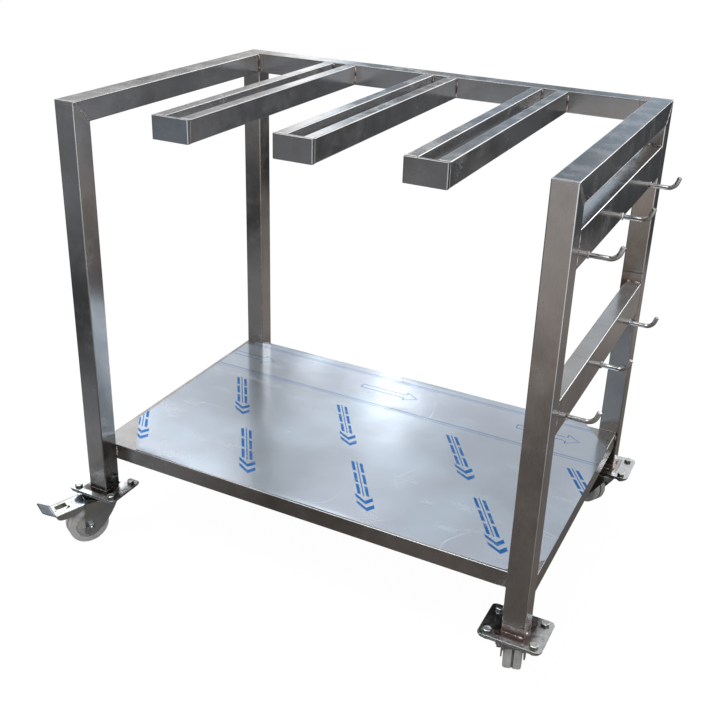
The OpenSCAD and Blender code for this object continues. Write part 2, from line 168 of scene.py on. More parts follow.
def piece(name, shapes, inside=None, wall=0.0, rounding=0.0, sharp=42, join=False):
    """One mesh object of several shapes, with its place in its mesh. A wall gives a sheet its
    thickness on the inner side, and rounding softens its rims."""
    shapes = [outward(s, inside) for s in (shapes if isinstance(shapes, list) else [shapes])]
    starts = np.cumsum([0] + [len(s[0]) for s in shapes[:-1]])
    points = np.concatenate([s[0] for s in shapes])
    faces = [q for s, n in zip(shapes, starts) for q in (s[1] + n).tolist()]
    faces += [(end + n).tolist() for s, n in zip(shapes, starts) for end in s[2]]
    mesh = bpy.data.meshes.new(name)
    mesh.from_pydata(points.tolist(), [], faces)
    if join:
        work = bmesh.new()
        work.from_mesh(mesh)
        bmesh.ops.remove_doubles(work, verts=work.verts, dist=0.00001)
        bmesh.ops.dissolve_degenerate(work, edges=work.edges, dist=0.00001)
        work.to_mesh(mesh)
        work.free()
    mesh.validate()
    mesh.polygons.foreach_set("use_smooth", [True] * len(mesh.polygons))
    mesh.set_sharp_from_angle(angle=np.radians(sharp))
    mesh.update()
    obj = in_scene(name, mesh)
    if wall:
        set_up(obj.modifiers.new("wall", "SOLIDIFY"), thickness=wall, offset=-1, use_even_offset=True)
    if rounding:
        set_up(obj.modifiers.new("round edges", "BEVEL"), width=rounding, segments=2,
               limit_method="ANGLE", angle_limit=np.radians(40), harden_normals=False)
    set_up(obj.modifiers.new("flats stay flat", "WEIGHTED_NORMAL"), keep_sharp=True)
    return obj


def rounded_path(points, radius, steps=5, closed=False):
    """A path of straight runs with round corners: each corner gives way to a parabola that starts
    and ends a radius away from it, or at 45% of its shorter run."""
    points = np.asarray(points, float)
    before, after = np.roll(points, 1, axis=0) - points, np.roll(points, -1, axis=0) - points
    back, on = (np.linalg.norm(v, axis=1, keepdims=True) for v in (before, after))
    radius = np.broadcast_to(np.asarray(radius, float), len(points))[:, None]
    cut = np.minimum(radius, 0.45 * np.minimum(back, on))
    start, end = points + before / back * cut, points + after / on * cut
    t = np.linspace(0, 1, steps)[None, :, None]
    curve = (1 - t) ** 2 * start[:, None] + 2 * t * (1 - t) * points[:, None] + t**2 * end[:, None]
    if closed:
        return curve.reshape(-1, points.shape[1])
    return np.concatenate([points[:1], curve[1:-1].reshape(-1, points.shape[1]), points[-1:]])


def rounded_section(width, height, radius, steps=5):
    """A rectangle with round corners, anticlockwise. Each flat has a point close to each corner's
    end, so that the shading of the corner stays in the corner."""
    hold = min(0.6 * MM, radius / 2)
    turn = np.concatenate([[0], quarter_turn(steps), [np.pi / 2]])
    slide_x, slide_y = np.zeros(steps + 2), np.zeros(steps + 2)
    slide_y[0], slide_x[-1] = -hold, -hold
    x = width / 2 - radius + radius * np.cos(turn) + slide_x
    y = height / 2 - radius + radius * np.sin(turn) + slide_y
    first = np.stack([x, y], axis=1)
    second = np.stack([-x[::-1], y[::-1]], axis=1)
    return np.concatenate([first, second, -first, -second])


AXES = {"X": (1, 2, 0), "Y": (2, 0, 1), "Z": (0, 1, 2)}


def tube(node, along, mitre_low=0.0, mitre_high=0.0):
    """A hollow tube that fills a node's box. Its section runs along the outside, over the wall at
    one end, back inside and over the other end. A mitred end is cut on a slant, so that the end
    moves along the tube by the mitre times the height of the section's point above its middle."""
    low, high = (np.array(c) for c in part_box(node))
    a, b, c = AXES[along]
    size = high - low
    middle = (low + high) / 2
    outer = rounded_section(size[a], size[b], CORNER)
    inner = rounded_section(size[a] - 2 * WALL, size[b] - 2 * WALL, INNER_CORNER)
    slope = 0 if along == "Y" else 1
    half = size[AXES[along][slope]] / 2
    edge, hold = 0.2 * MM, 1.2 * MM
    rims = []
    for section, shrink, end, step in (
        (outer, edge, 0, 0), (outer, 0, 0, edge), (outer, 0, 0, hold),
        (outer, 0, 1, -hold), (outer, 0, 1, -edge), (outer, edge, 1, 0),
        (inner, 0, 1, 0), (inner, 0, 0, 0),
    ):
        mitre = (mitre_low, mitre_high)[end]
        rim = np.zeros((len(section), 3))
        rim[:, a] = middle[a] + section[:, 0] * (1 - 2 * shrink / size[a])
        rim[:, b] = middle[b] + section[:, 1] * (1 - 2 * shrink / size[b])
        start = (low, high)[end][c] - (abs(mitre) * half if end else -abs(mitre) * half)
        rim[:, c] = start + step + mitre * section[:, slope]
        rims.append(rim)
    return ring(np.array(rims))


def slab(outline, low, high, edge):
    """An outline, in millimetres, raised from low to high. Its rims are drawn in by a small round
    edge. Gives grids of x, y and z to be placed."""
    centre = outline.mean(axis=0)
    reach = np.abs(outline - centre).max(axis=0)
    turn = quarter_turn(4)
    levels = [(low + edge - edge * np.sin(t), 1 - np.cos(t)) for t in turn[::-1]]
    levels += [(low + 2 * edge, 0), (high - 2 * edge, 0)]
    levels += [(high - edge + edge * np.sin(t), 1 - np.cos(t)) for t in turn]
    z, inset = np.array(levels).T
    plan = centre + (outline - centre) * (1 - inset[:, None, None] * edge / reach)
    return plan[..., 0], plan[..., 1], np.broadcast_to(z[:, None], plan.shape[:2])


def revolved(profile, steps=48, flats=None):
    """A profile of radius and height, turned round its axis. Gives grids of the radius times the
    cosine and sine of the turn, and the height. Where the radius is larger than a hexagon of the
    given width across its flats, it is cut back to the hexagon."""
    profile = np.asarray(profile, float)
    turn = full_turn(steps)
    radius = profile[:, :1]
    if flats:
        radius = np.minimum(radius, flats / 2 / np.cos(turn % (np.pi / 3) - np.pi / 6))
    around, over = radius * np.cos(turn), radius * np.sin(turn)
    return around, over, np.broadcast_to(profile[:, 1:], around.shape)


def swept(path, radius, sides, up):
    """A round bar along a path. Each ring stands square to the path, and radius may change."""
    path = np.asarray(path, float)
    ahead = unit(np.gradient(path, axis=0))
    side = unit(np.cross(ahead, np.asarray(up, float)))
    over = np.cross(side, ahead)
    turn = full_turn(sides)
    wide = np.broadcast_to(np.asarray(radius, float), (len(path),))[:, None, None]
    spread = np.cos(turn)[None, :, None] * over[:, None] + np.sin(turn)[None, :, None] * side[:, None]
    return solid(path[:, None] + wide * spread)


def bead(start, end, radius, seed, up):
    """A weld bead between two points in rack millimetres: a round bar half sunk in the corner, whose
    radius swells with each step of the torch and wanders a little, and whose line wanders too."""
    start, end = rack(*start), rack(*end)
    length = np.linalg.norm(end - start)
    t = np.linspace(0, 1, max(10, int(length / (0.45 * MM))))
    draw = np.random.default_rng(seed)
    ripple = np.abs(np.sin(np.pi * t * length / (2.4 * MM) + draw.uniform(0, 3)))
    waves = [(draw.uniform(0.03, 0.10), k, draw.uniform(0, 6)) for k in (2, 5, 9)]
    wander = sum(size * np.sin(k * np.pi * t + phase) for size, k, phase in waves)
    ends = np.minimum(1, np.minimum(t, 1 - t) * length / (1.5 * MM)) ** 0.5
    across = np.cross(end - start, np.asarray(up, float))
    across /= np.linalg.norm(across)
    sway = radius * MM * 0.16 * np.sin(2.3 * np.pi * t * length / (9 * MM) + draw.uniform(0, 6))
    path = start + t[:, None] * (end - start) + sway[:, None] * across
    wide = radius * MM * (0.8 + 0.24 * ripple + wander) * np.maximum(ends, 0.15)
    return swept(path, wide, 10, up)


def bead_ring(centre, major, minor, seed):
    """A bead round a bar that stands out along X: a ring whose small radius swells with each step
    of the torch."""
    turn = full_turn(64)[:, None]
    small = full_turn(9)[None, :]
    draw = np.random.default_rng(seed)
    swell = minor * (0.82 + 0.3 * np.abs(np.sin(5.5 * turn + draw.uniform(0, 3))))
    reach = major + swell * np.cos(small) + 0.3 * np.sin(2 * turn + draw.uniform(0, 6))
    x = centre[0] + swell * np.sin(small)
    grid = rack(x, centre[1] + reach * np.cos(turn), centre[2] + reach * np.sin(turn))
    return ring(grid)


# Materials


class Field:
    """One socket of a material's nodes. Sums and products of fields and numbers add Math nodes."""

    def __init__(self, graph, socket):
        self.graph, self.socket = graph, socket

    def math(self, operation, *others, turned=False):
        values = (*others, self) if turned else (self, *others)
        node = self.graph.node("ShaderNodeMath", {"operation": operation}, dict(enumerate(values)))
        return Field(self.graph, node.outputs[0])

    __add__ = __radd__ = partialmethod(math, "ADD")
    __mul__ = __rmul__ = partialmethod(math, "MULTIPLY")
    __sub__ = partialmethod(math, "SUBTRACT")
    __rsub__ = partialmethod(math, "SUBTRACT", turned=True)
    __truediv__ = partialmethod(math, "DIVIDE")
    __mod__ = partialmethod(math, "FLOORED_MODULO")
    __abs__ = partialmethod(math, "ABSOLUTE")
    least = partialmethod(math, "MINIMUM")
    most = partialmethod(math, "MAXIMUM")

    def away(self, other):
        """How far a point is from zero, with this field and another as its coordinates."""
        return (self * self + other * other).math("SQRT")

    def ramp(self, low, high, to_low=0.0, to_high=1.0):
        """Goes smoothly from to_low at low to to_high at high."""
        turned = low > high
        values = {
            "Value": self, "From Min": min(low, high), "From Max": max(low, high),
            "To Min": to_high if turned else to_low, "To Max": to_low if turned else to_high,
        }
        node = self.graph.node("ShaderNodeMapRange", {"interpolation_type": "SMOOTHSTEP"}, values)
        return Field(self.graph, node.outputs[0])


class Graph:
    """The nodes of one material, or of the world."""

    def __init__(self, name, owner=None):
        self.owner = owner or bpy.data.materials.new(name)
        self.owner.use_nodes = True
        self.tree = self.owner.node_tree
        self.tree.nodes.clear()
        self.place = self.node("ShaderNodeTexCoord").outputs["Object"]
        parts = self.node("ShaderNodeSeparateXYZ", {}, {0: self.place})
        self.x, self.y, self.z = (Field(self, s) for s in parts.outputs)
        self.across = (self.x - LEFT) * 1000.0
        self.behind = (self.y - FRONT) * 1000.0
        self.above = self.z * 1000.0

    def left_to_right(self, at_left=0.0, at_right=1.0):
        """Goes from one value at the left posts to another at the right ones."""
        return self.across.ramp(100.0, 800.0, at_left, at_right)

    def node(self, kind, settings=None, inputs=None):
        """Adds a node: settings first, then the values or links of its sockets."""
        node = self.tree.nodes.new(kind)
        for key, value in (settings or {}).items():
            if key == "stops":
                ramp = node.color_ramp
                while len(ramp.elements) < len(value):
                    ramp.elements.new(1)
                for element, (position, colour) in zip(ramp.elements, value):
                    element.position = position
                    element.color = (*colour, 1)
            else:
                setattr(node, key, value)
        for key, value in (inputs or {}).items():
            socket = node.inputs[key]
            if isinstance(value, Field):
                value = value.socket
            if isinstance(value, bpy.types.NodeSocket):
                self.tree.links.new(value, socket)
            elif socket.type == "RGBA" and len(value) == 3:
                socket.default_value = (*value, 1)
            else:
                socket.default_value = value
        return node

    def noise(self, scale, detail=2.0, stretch=(1, 1, 1), roughness=0.5, turn=(0, 0, 0)):
        """Noise over the object's own coordinates, turned and stretched by a factor on each axis."""
        settings = {"Vector": self.place, "Scale": stretch, "Rotation": turn}
        place = self.node("ShaderNodeMapping", {}, settings)
        values = {"Vector": place.outputs[0], "Scale": scale, "Detail": detail, "Roughness": roughness}
        return Field(self, self.node("ShaderNodeTexNoise", {}, values).outputs[0])

    def mix(self, share, first, second):
        """A colour that goes from first to second with share."""
        inputs = {"Factor": share, 6: first, 7: second}
        return self.node("ShaderNodeMix", {"data_type": "RGBA"}, inputs).outputs[2]

    def colours(self, value, stops):
        """The colour of a ramp at value."""
        return self.node("ShaderNodeValToRGB", {"stops": stops}, {0: value}).outputs[0]

    def bump(self, height, strength, distance):
        values = {"Height": height, "Strength": strength, "Distance": distance}
        return self.node("ShaderNodeBump", {}, values).outputs[0]

    def end(self, shader, output="ShaderNodeOutputMaterial"):
        """Ends the nodes in this shader."""
        self.node(output, {}, {0: shader.outputs[0]})
        return self.owner

    def surface(self, **values):
        """Ends the material in one Principled shader with these sockets."""
        inputs = {key.replace("_", " "): value for key, value in values.items()}
        return self.end(self.node("ShaderNodeBsdfPrincipled", {}, inputs))

    def glow(self, colour, strength):
        """Ends the material in one even or patterned glow."""
        return self.end(self.node("ShaderNodeEmission", {}, {"Color": colour, "Strength": strength}))


def shade(colour, factor):
    return tuple(c * factor for c in colour)


# The grain of the brushing is drawn out along one axis
STRETCH = {"X": (1, 16, 16), "Y": (16, 1, 16), "Z": (16, 16, 1)}
STEEL = (0.472, 0.473, 0.478)
HEAT_STOPS = [
    (0.0, (0.15, 0.11, 0.095)), (0.12, (0.33, 0.265, 0.24)), (0.45, (0.42, 0.365, 0.345)),
    (0.78, (0.45, 0.415, 0.40)), (0.89, (0.15, 0.135, 0.13)), (1.0, STEEL)]
BUMP_DEPTH = 0.0055


def heat_tint(graph, colour, distance, reach):
    """Steel beside a weld, by the distance from it in millimetres: brown, then straw and rose, then a
    dark line, then plain."""
    wander = graph.noise(34, 2) * 0.7 + 0.65
    far = distance / (wander * reach)
    return graph.mix(far.ramp(1.08, 0.96) * 0.85, colour, graph.colours(far, HEAT_STOPS))


def brushed_steel(name, along, welds=(), ground=(), base=STEEL, polish=0.16, bright=None, dip=0.0):
    """Stainless steel brushed along one axis, with soft waves from rolling, smudges and a few pits.
    welds are distances from welds with the reach of their heat tint, and ground are distances from
    dressed seams, which are duller and scratched across. bright is a share that is painted a light
    grey as painted light, and the top dips to the rear by the slope of dip."""
    g = Graph(name)
    grain = g.noise(90, 4, STRETCH[along], 0.65)
    hair = g.noise(330, 2, STRETCH[along])
    waves = g.noise(7, 0, tuple(1.6 if s > 1 else 0.7 for s in STRETCH[along]))
    cloud = g.noise(6, 3)
    smudge = g.noise(23, 5, roughness=0.62)
    pits = g.noise(210, 1).ramp(0.76, 0.82)
    tone = grain * 0.25 + cloud * 0.45 + smudge * 0.3
    colour = g.mix(tone.ramp(0.36, 0.64), shade(base, 0.72), base)
    colour = g.mix(pits * 0.55, colour, shade(base, 0.3))
    stain = g.noise(11, 4, roughness=0.6).ramp(0.54, 0.72)
    colour = g.mix(stain * 0.5, colour, (base[0] * 0.74, base[1] * 0.66, base[2] * 0.58))
    if bright:
        # Painted light: the share given by bright is painted a light grey.
        colour = g.mix(bright(g), colour, (0.82, 0.82, 0.83))
    rough = grain * 0.08 + smudge.ramp(0.42, 0.72) * 0.12 + polish - 0.04
    height = waves * 0.40 + grain * 0.005 + hair * 0.002
    if dip:
        height = height + g.y * (dip / BUMP_DEPTH) * g.above.ramp(HEIGHT - 1.2, HEIGHT - 0.6)
    for distance in ground:
        dressed = distance(g).ramp(7.0, 3.0)
        scratch = g.noise(260, 3, (9, 1, 1), turn=(0.5, 0.7, 0.6))
        scratched = g.mix(scratch.ramp(0.35, 0.65), shade(base, 0.8), shade(base, 1.3))
        colour = g.mix(dressed * 0.5, colour, scratched)
        rough = rough + dressed * 0.12
        height = height + dressed * scratch * 0.035
    for distance, reach in welds:
        colour = heat_tint(g, colour, distance(g), reach)
    return g.surface(
        Base_Color=colour, Metallic=1.0, Roughness=rough, Normal=g.bump(height, 1.0, BUMP_DEPTH))


def zinc_plate(name, base=(0.42, 0.455, 0.45), polish=0.15, painted_shade=None, painted_shade_colour=(0.035, 0.04, 0.04)):
    """Bright zinc plating: green-grey clouds with a slight blue and yellow bloom. A share given by a mask
    is painted darker, as painted shade."""
    g = Graph(name)
    cloud = g.noise(38, 3)
    bloom = g.noise(22, 2)
    stain = g.noise(120, 3).ramp(0.58, 0.74)
    colour = g.mix(cloud.ramp(0.3, 0.7), shade(base, 0.75), base)
    bluish, yellowish = (0.40, 0.44, 0.56), (0.50, 0.49, 0.38)
    tinted = g.colours(bloom, [(0.36, bluish), (0.5, base), (0.66, yellowish)])
    colour = g.mix(0.4, colour, tinted)
    colour = g.mix(stain * 0.35, colour, shade(base, 0.45))
    if painted_shade:
        # Painted shade: the masked share is painted near black.
        colour = g.mix(painted_shade(g) * 0.86, colour, painted_shade_colour)
    rough = cloud * 0.12 + stain * 0.15 + polish
    height = g.noise(30, 2) + g.noise(420, 3) * 0.03
    return g.surface(Base_Color=colour, Metallic=1.0, Roughness=rough, Normal=g.bump(height, 1.0, 0.0012))


def folded_distance(g):
    """The distance in millimetres from the nearest post's side, the same at all four corners."""
    from_middle_x = abs(g.across - WIDTH / 2) - (WIDTH - SIDE) / 2
    from_middle_y = abs(g.behind - DEPTH / 2) - (DEPTH - SIDE) / 2
    return abs(from_middle_x).most(abs(from_middle_y)) - SIDE / 2


def plate_steel(name):
    """Foot plates: bright cold-rolled sheet with a faint mottle, tinted round the posts' welds, with a
    painted reflection of the post in front of the front posts and painted shade on the rims.
    """
    g = Graph(name)
    values = {"Vector": g.place, "Scale": 170.0, "Randomness": 1.0}
    crystals = g.node("ShaderNodeTexVoronoi", {"feature": "F1"}, values)
    mottle = Field(g, g.node("ShaderNodeSeparateColor", {}, {0: crystals.outputs["Color"]}).outputs[0])
    cloud = g.noise(45, 4)
    colour = g.mix(mottle * 0.5 + cloud * 0.5, (0.52, 0.53, 0.54), (0.78, 0.79, 0.80))
    from_post = folded_distance(g)
    colour = heat_tint(g, colour, from_post.most(0.0) * g.left_to_right(2.5, 1.0), 9.0)
    # Painted reflection of the post: the plate just in front of the front posts, near black at the left and
    # brown at the right.
    painted_post_reflection = from_post.ramp(15.0, 9.0) * g.behind.ramp(22.0, 2.0)
    painted_post_reflection = painted_post_reflection * (cloud.ramp(0.35, 0.6) * 0.2 + 0.75)
    post_reflection_colour = g.mix(g.left_to_right(), (0.018, 0.017, 0.016), (0.22, 0.165, 0.15))
    colour = g.mix(painted_post_reflection, colour, post_reflection_colour)
    # Painted shade: the plate's rounded rims below its top are painted dark grey.
    colour = g.mix(g.above.ramp(HEAD_Z + 0.02, HEAD_Z - 0.25) * 0.8, colour, (0.13, 0.13, 0.13))
    rough = mottle * 0.07 + cloud * 0.12 + 0.13
    height = g.noise(35, 3) + mottle * 0.06
    return g.surface(Base_Color=colour, Metallic=1.0, Roughness=rough, Normal=g.bump(height, 1.0, 0.0012))


def wheel_grey(name):
    """Grey plastic wheel with a slight mould bloom, scuffs and patches of dust, and darker in its groove."""
    g = Graph(name)
    scuff = g.noise(70, 5, roughness=0.6)
    dust = g.noise(25, 3)
    colour = g.mix(scuff.ramp(0.40, 0.72), (0.47, 0.47, 0.465), (0.36, 0.36, 0.355))
    colour = g.mix(dust.ramp(0.45, 0.8) * 0.5, colour, (0.52, 0.51, 0.48))
    # The tread's groove is darker, by a share stored on the wheel's points.
    dirt = Field(g, g.node("ShaderNodeAttribute", {"attribute_name": "dirt"}).outputs["Fac"])
    colour = g.mix(dirt * (scuff * 0.5 + 0.6), colour, (0.07, 0.065, 0.06))
    height = scuff * 0.3 + g.noise(500, 2) * 0.1
    return g.surface(Base_Color=colour, Roughness=scuff * 0.22 + 0.28, Normal=g.bump(height, 0.5, 0.0008))


def weld_metal(name):
    """A weld bead: bright ripples, browned in patches, with painted shade that darkens it near the feet, most
    at the left posts.
    """
    g = Graph(name)
    # Painted shade: the beads are darker near the feet, more at the left posts.
    patch = g.noise(95, 3) - g.above.ramp(HEAD_Z + 12, HEAD_Z + 2) * g.left_to_right(0.24, 0.10)
    stops = [(0.38, (0.10, 0.088, 0.08)), (0.49, (0.40, 0.37, 0.35)), (0.60, (0.80, 0.80, 0.80))]
    colour = g.colours(patch, stops)
    normal = g.bump(g.noise(700, 2), 0.5, 0.0004)
    return g.surface(Base_Color=colour, Metallic=1.0, Roughness=patch * 0.25 + 0.10, Normal=normal)


def film_sheet(name):
    """Pale blue protective film that lets the steel's shine through, with creases and milky patches,
    printed with plain arrows, chevrons, bars and lines in blue."""
    g = Graph(name)
    u, v = g.across, g.behind
    soft = 0.45

    def stripe(value, at, half):
        return abs(value - at).ramp(half + soft, half - soft)

    def between(value, low, high):
        return value.ramp(low - soft, low + soft) * value.ramp(high + soft, high - soft)

    rules = stripe(v, 563, 0.9) + stripe(v, 557, 0.6) + stripe(v, 441, 1.1) + stripe(v, 434, 0.7)
    along = (u + 72) % 360.0
    lean = abs(v - 504)
    shaft = stripe(lean, 7, 0.9) * between(along, 60, 162)
    tail = stripe(along, 60, 0.9) * between(lean, 0, 7)
    head = stripe(along + lean * 1.5, 192, 1.3) * between(lean, 0, 18)
    barb = stripe(along, 165, 1.0) * between(lean, 7, 18)
    slope = 0.66
    row = ((v - 60) / 184.0).math("FLOOR")
    q = (v - 60) % 184.0
    p = (u + q * slope + row * 130.0 + 46) % 252.0 - 126.0
    lean_p = abs(p)
    chevrons = stripe(q - lean_p * 0.8, 24, 4.6) + stripe(q - lean_p * 0.8, 42, 4.6)
    chevrons = chevrons * between(lean_p, 0, 18)
    dashes = stripe(lean_p, 9, 3.4) * between((q - 60) % 33.0, 2, 29)
    bars = (dashes + stripe(lean_p, 0, 1.2)) * between(q, 60, 158)
    marks = (chevrons + bars) * between(v, 62, 424)
    ink = (rules * 0.75 + shaft + tail + head + barb + marks).least(1.0)
    worn = g.noise(60, 4).ramp(0.30, 0.48, 0.72, 1.0)

    cloud = g.noise(3.6, 3)
    paper = g.mix(cloud.ramp(0.36, 0.64), (0.385, 0.435, 0.50), (0.47, 0.555, 0.645))
    lilac = g.noise(4.3, 2, (1, 1.4, 1)).ramp(0.45, 0.65)
    paper = g.mix(lilac * 0.35, paper, (0.45, 0.465, 0.545))
    milky = g.noise(11, 4, (1, 2.4, 1)).ramp(0.56, 0.74)
    paper = g.mix(milky * 0.25, paper, (0.58, 0.64, 0.70))
    line = abs(g.noise(4.5, 1, turn=(0, 0, 0.6)) - 0.5).ramp(0.0022, 0.0006)
    crease = line * g.noise(2.4, 1).ramp(0.50, 0.58)
    paper = g.mix(crease * 0.5, paper, (0.80, 0.82, 0.84))
    colour = g.mix(ink * worn, paper, (0.016, 0.135, 0.40))
    metal = ink * 0.16 + 0.82
    rough = cloud * 0.06 + milky * 0.08 + ink * 0.06 + v.ramp(520, 200, 0.14, 0.20)
    height = g.noise(5.0, 1) * 0.55 + g.noise(26, 3) * 0.03 + crease * 0.03
    return g.surface(
        Base_Color=colour, Metallic=metal, Roughness=rough, Normal=g.bump(height, 1.0, 0.005),
        Coat_Weight=0.25 - ink * 0.22, Coat_Roughness=0.06)


def dress(obj, paint, body, slot, *nodes):
    """Gives a piece its material and its body, and hides the nodes that it stands for. The slot is not used.
    """
    obj.data.materials.append(paint)
    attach(obj, body)
    if nodes:
        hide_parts(*nodes)
    return obj


def on_frame(name, shapes, paint, *nodes, slot="stainless", **options):
    """A piece that is welded or bolted to the frame."""
    return dress(piece(name, shapes, **options), paint, "frame", slot, *nodes)


# Frame


def near_hooks(g):
    """The distance from the nearest hook's root."""
    rows = [(g.above - z).away(g.behind - y) for z in HOOK_Z.values() for y in HOOK_Y]
    nearest = rows[0]
    for row in rows[1:]:
        nearest = nearest.least(row)
    return nearest - BAR


near_foot = lambda g: (g.above - HEAD_Z) * g.left_to_right(3.5, 1.0)
near_rear_rail = lambda g: abs(g.behind - (DEPTH - SIDE))
near_left_rail = lambda g: abs(g.across - SIDE)
near_right_rail = lambda g: abs(g.across - (WIDTH - SIDE))
near_front_post = lambda g: abs(g.behind - SIDE)
front_mitre = lambda g: abs(g.behind - (HEIGHT - g.above)) * 0.7
rear_mitre = lambda g: abs((DEPTH - g.behind) - (HEIGHT - g.above)) * 0.7
near_tray = lambda g: abs(g.above - (TRAY_LOW + SHELF_Z) / 2).ramp(14.0, 26.0, 0.0, 40.0) + abs(
    abs(g.behind - DEPTH / 2) - (DEPTH / 2 - SIDE))
# Painted highlight: the share of the upper hook rail's top face that is painted lighter.
upper_rail_top_painted_highlight = lambda g: g.above.ramp(RAIL_TOPS["upper"] - 1.4, RAIL_TOPS["upper"] - 0.4) * 0.9
# Painted shade: the share of the bolts' heads below their tops, which is painted near black.
bolt_side_painted_shade = lambda g: g.above.ramp(HEAD_Z + 4.7, HEAD_Z + 3.9)


def slot_faces_painted_lighter(g):
    """The share of the inner faces of the arms' slots, one slot to each pitch of the arms. It is painted
    lighter: painted light.
    """
    centres = [np.mean([corner[0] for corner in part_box(arm + "_arm_end_plate")]) for arm in ARMS]
    first, pitch = float(centres[0] - LEFT) / MM, float(centres[1] - centres[0]) / MM
    inside = abs((g.across - (first - pitch / 2)) % pitch - pitch / 2).ramp(16.2, 15.4)
    return inside * g.above.ramp(HEIGHT - 1.6, HEIGHT - 2.4)


def near_lower_rail(g):
    """The distance from the lower hook rail's end, on the faces of the rear right post round it."""
    beside = (g.behind - (DEPTH - SIDE)).most(0.0) * 2.0 + g.across.ramp(500.0, 400.0) * 100.0
    return abs(g.above - (RAIL_TOPS["lower"] - RAIL_HIGH / 2)) - RAIL_HIGH / 2 + beside


def pedal_lip(g):
    """The share of the front pedals' lips, by the distance from the swivel axis, which is painted darker as
    painted shade.
    """
    axes = [(POSTS[place] - np.array([LEFT, FRONT])) / MM for place in ("front_left", "front_right")]
    left, right = ((g.across - float(x)).away(g.behind - float(y)) for x, y in axes)
    return left.least(right).ramp(109.0, 113.0)


front_post_steel = brushed_steel(
    "front post steel", "Z", [(near_foot, 20.0), (near_tray, 9.0)], [front_mitre])
# Painted shade: the rear posts' steel is painted darker and warmer than the front posts'.
rear_post_steel = brushed_steel(
    "rear post steel", "Z", [(near_foot, 20.0), (near_tray, 12.0), (near_lower_rail, 22.0)], [rear_mitre],
    base=(0.44, 0.425, 0.41))
rail_steel = brushed_steel("rail steel", "Y", ground=[front_mitre, rear_mitre])
rear_steel = brushed_steel(
    "rear rail steel", "X", [(near_left_rail, 12.0), (near_right_rail, 14.0)],
    [near_left_rail, near_right_rail], dip=0.035)
# The inner faces of the arms' slots are painted lighter: painted light.
arm_steel = brushed_steel(
    "arm steel", "Y", [(near_rear_rail, 10.0)], base=shade(STEEL, 0.95), bright=slot_faces_painted_lighter)
hook_rail_steel = brushed_steel(
    "hook rail steel", "Y", [(near_rear_rail, 14.0), (near_front_post, 14.0), (near_hooks, 7.0)],
    bright=upper_rail_top_painted_highlight)
# Painted light and shade: the end plates are one steel in three tones, blue-grey at the left arm and darker
# at the right.
end_plate_painted_tones = {"left": (0.42, 0.455, 0.50), "middle": shade(STEEL, 0.74), "right": shade(STEEL, 0.62)}
end_plate_steel = {
    arm: brushed_steel(arm + " end plate steel", "X", base=base, polish=0.18)
    for arm, base in end_plate_painted_tones.items()}
hook_steel = brushed_steel("hook steel", "X", base=(0.52, 0.52, 0.52), polish=0.10)
tray_steel = brushed_steel("tray steel", "X", base=shade(STEEL, 0.82), polish=0.24)
weld = weld_metal("weld")
zinc = zinc_plate("zinc plate")
bolt_zinc = zinc_plate("bolt zinc", base=(0.78, 0.80, 0.79), polish=0.26, painted_shade=bolt_side_painted_shade)
pedal_zinc = zinc_plate(
    "pedal zinc", base=(0.50, 0.54, 0.58), polish=0.12, painted_shade=pedal_lip,
    painted_shade_colour=(0.055, 0.06, 0.058))
yellow_zinc = zinc_plate("yellow zinc", base=(0.60, 0.55, 0.26), polish=0.22)
foot_steel = plate_steel("foot plate steel")
grey_wheel = wheel_grey("wheel grey")

for place in POSTS:
    node = place + "_post"
    mitre, steel = (-1.0, front_post_steel) if place.startswith("front") else (1.0, rear_post_steel)
    on_frame(node + "_tube", tube(node, "Z", 0.0, mitre), steel, node)
for node in ("left_top_rail", "right_top_rail"):
    on_frame(node + "_tube", tube(node, "Y", -1.0, 1.0), rail_steel, node)
on_frame("rear_top_rail_tube", tube("rear_top_rail", "X"), rear_steel, "rear_top_rail")
for arm in ARMS:
    for node in (arm + "_arm_left_tube", arm + "_arm_right_tube"):
        on_frame(node + "_steel", tube(node, "Y"), arm_steel, node)
    node = arm + "_arm_end_plate"
    low, high = (np.array(c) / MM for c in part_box(node))
    outline = rounded_section(high[0] - low[0], high[1] - low[1], 1.8) + (low + high)[:2] / 2
    x, y, z = slab(outline, low[2], high[2], 0.7)
    end_plate = solid(np.stack([x, y, z], axis=-1) * MM)
    on_frame(node + "_steel", end_plate, end_plate_steel[arm], node, slot="bright_stainless")
for level in HOOK_Z:
    node = level + "_hook_rail"
    on_frame(node + "_tube", tube(node, "Y"), hook_rail_steel, node)

# Hooks: straight out, round a bend and up to the tip, with a weld round each root


def hook_bar(y, z):
    """The bar of one hook: its centre line runs straight, turns up an arc and goes on straight."""
    turn = np.linspace(0, BEND_ANGLE, 14)
    arc = np.stack([RUN + BEND * np.sin(turn), BEND - BEND * np.cos(turn)], axis=1)
    out = np.array([[-1.0, 0], [2, 0], [RUN / 2, 0], [RUN - 2, 0]])
    ahead = np.array([np.cos(BEND_ANGLE), np.sin(BEND_ANGLE)])
    tip = arc[-1] + np.array([2, TIP - 1.2, TIP - 0.4, TIP])[:, None] * ahead
    path = np.concatenate([out, arc, tip])
    wide = np.full(len(path), BAR)
    wide[-2:] = BAR - 0.25, BAR - 0.9
    return swept(rack(WIDTH + path[:, 0], y, z + path[:, 1]), wide * MM, 20, up=(0, 1, 0))


for level, z in HOOK_Z.items():
    bars = [hook_bar(y, z) for y in HOOK_Y]
    on_frame(level + "_hook_bars", bars, hook_steel, level + "_hooks", slot="bright_stainless")
    rings = [bead_ring((WIDTH + 0.4, y, z), BAR + 0.4, 1.5, 60 + i) for i, y in enumerate(HOOK_Y)]
    on_frame(level + "_hook_welds", rings, weld)

# Shelf: the tray's sheet turns down all round, and a folded strip stiffens it


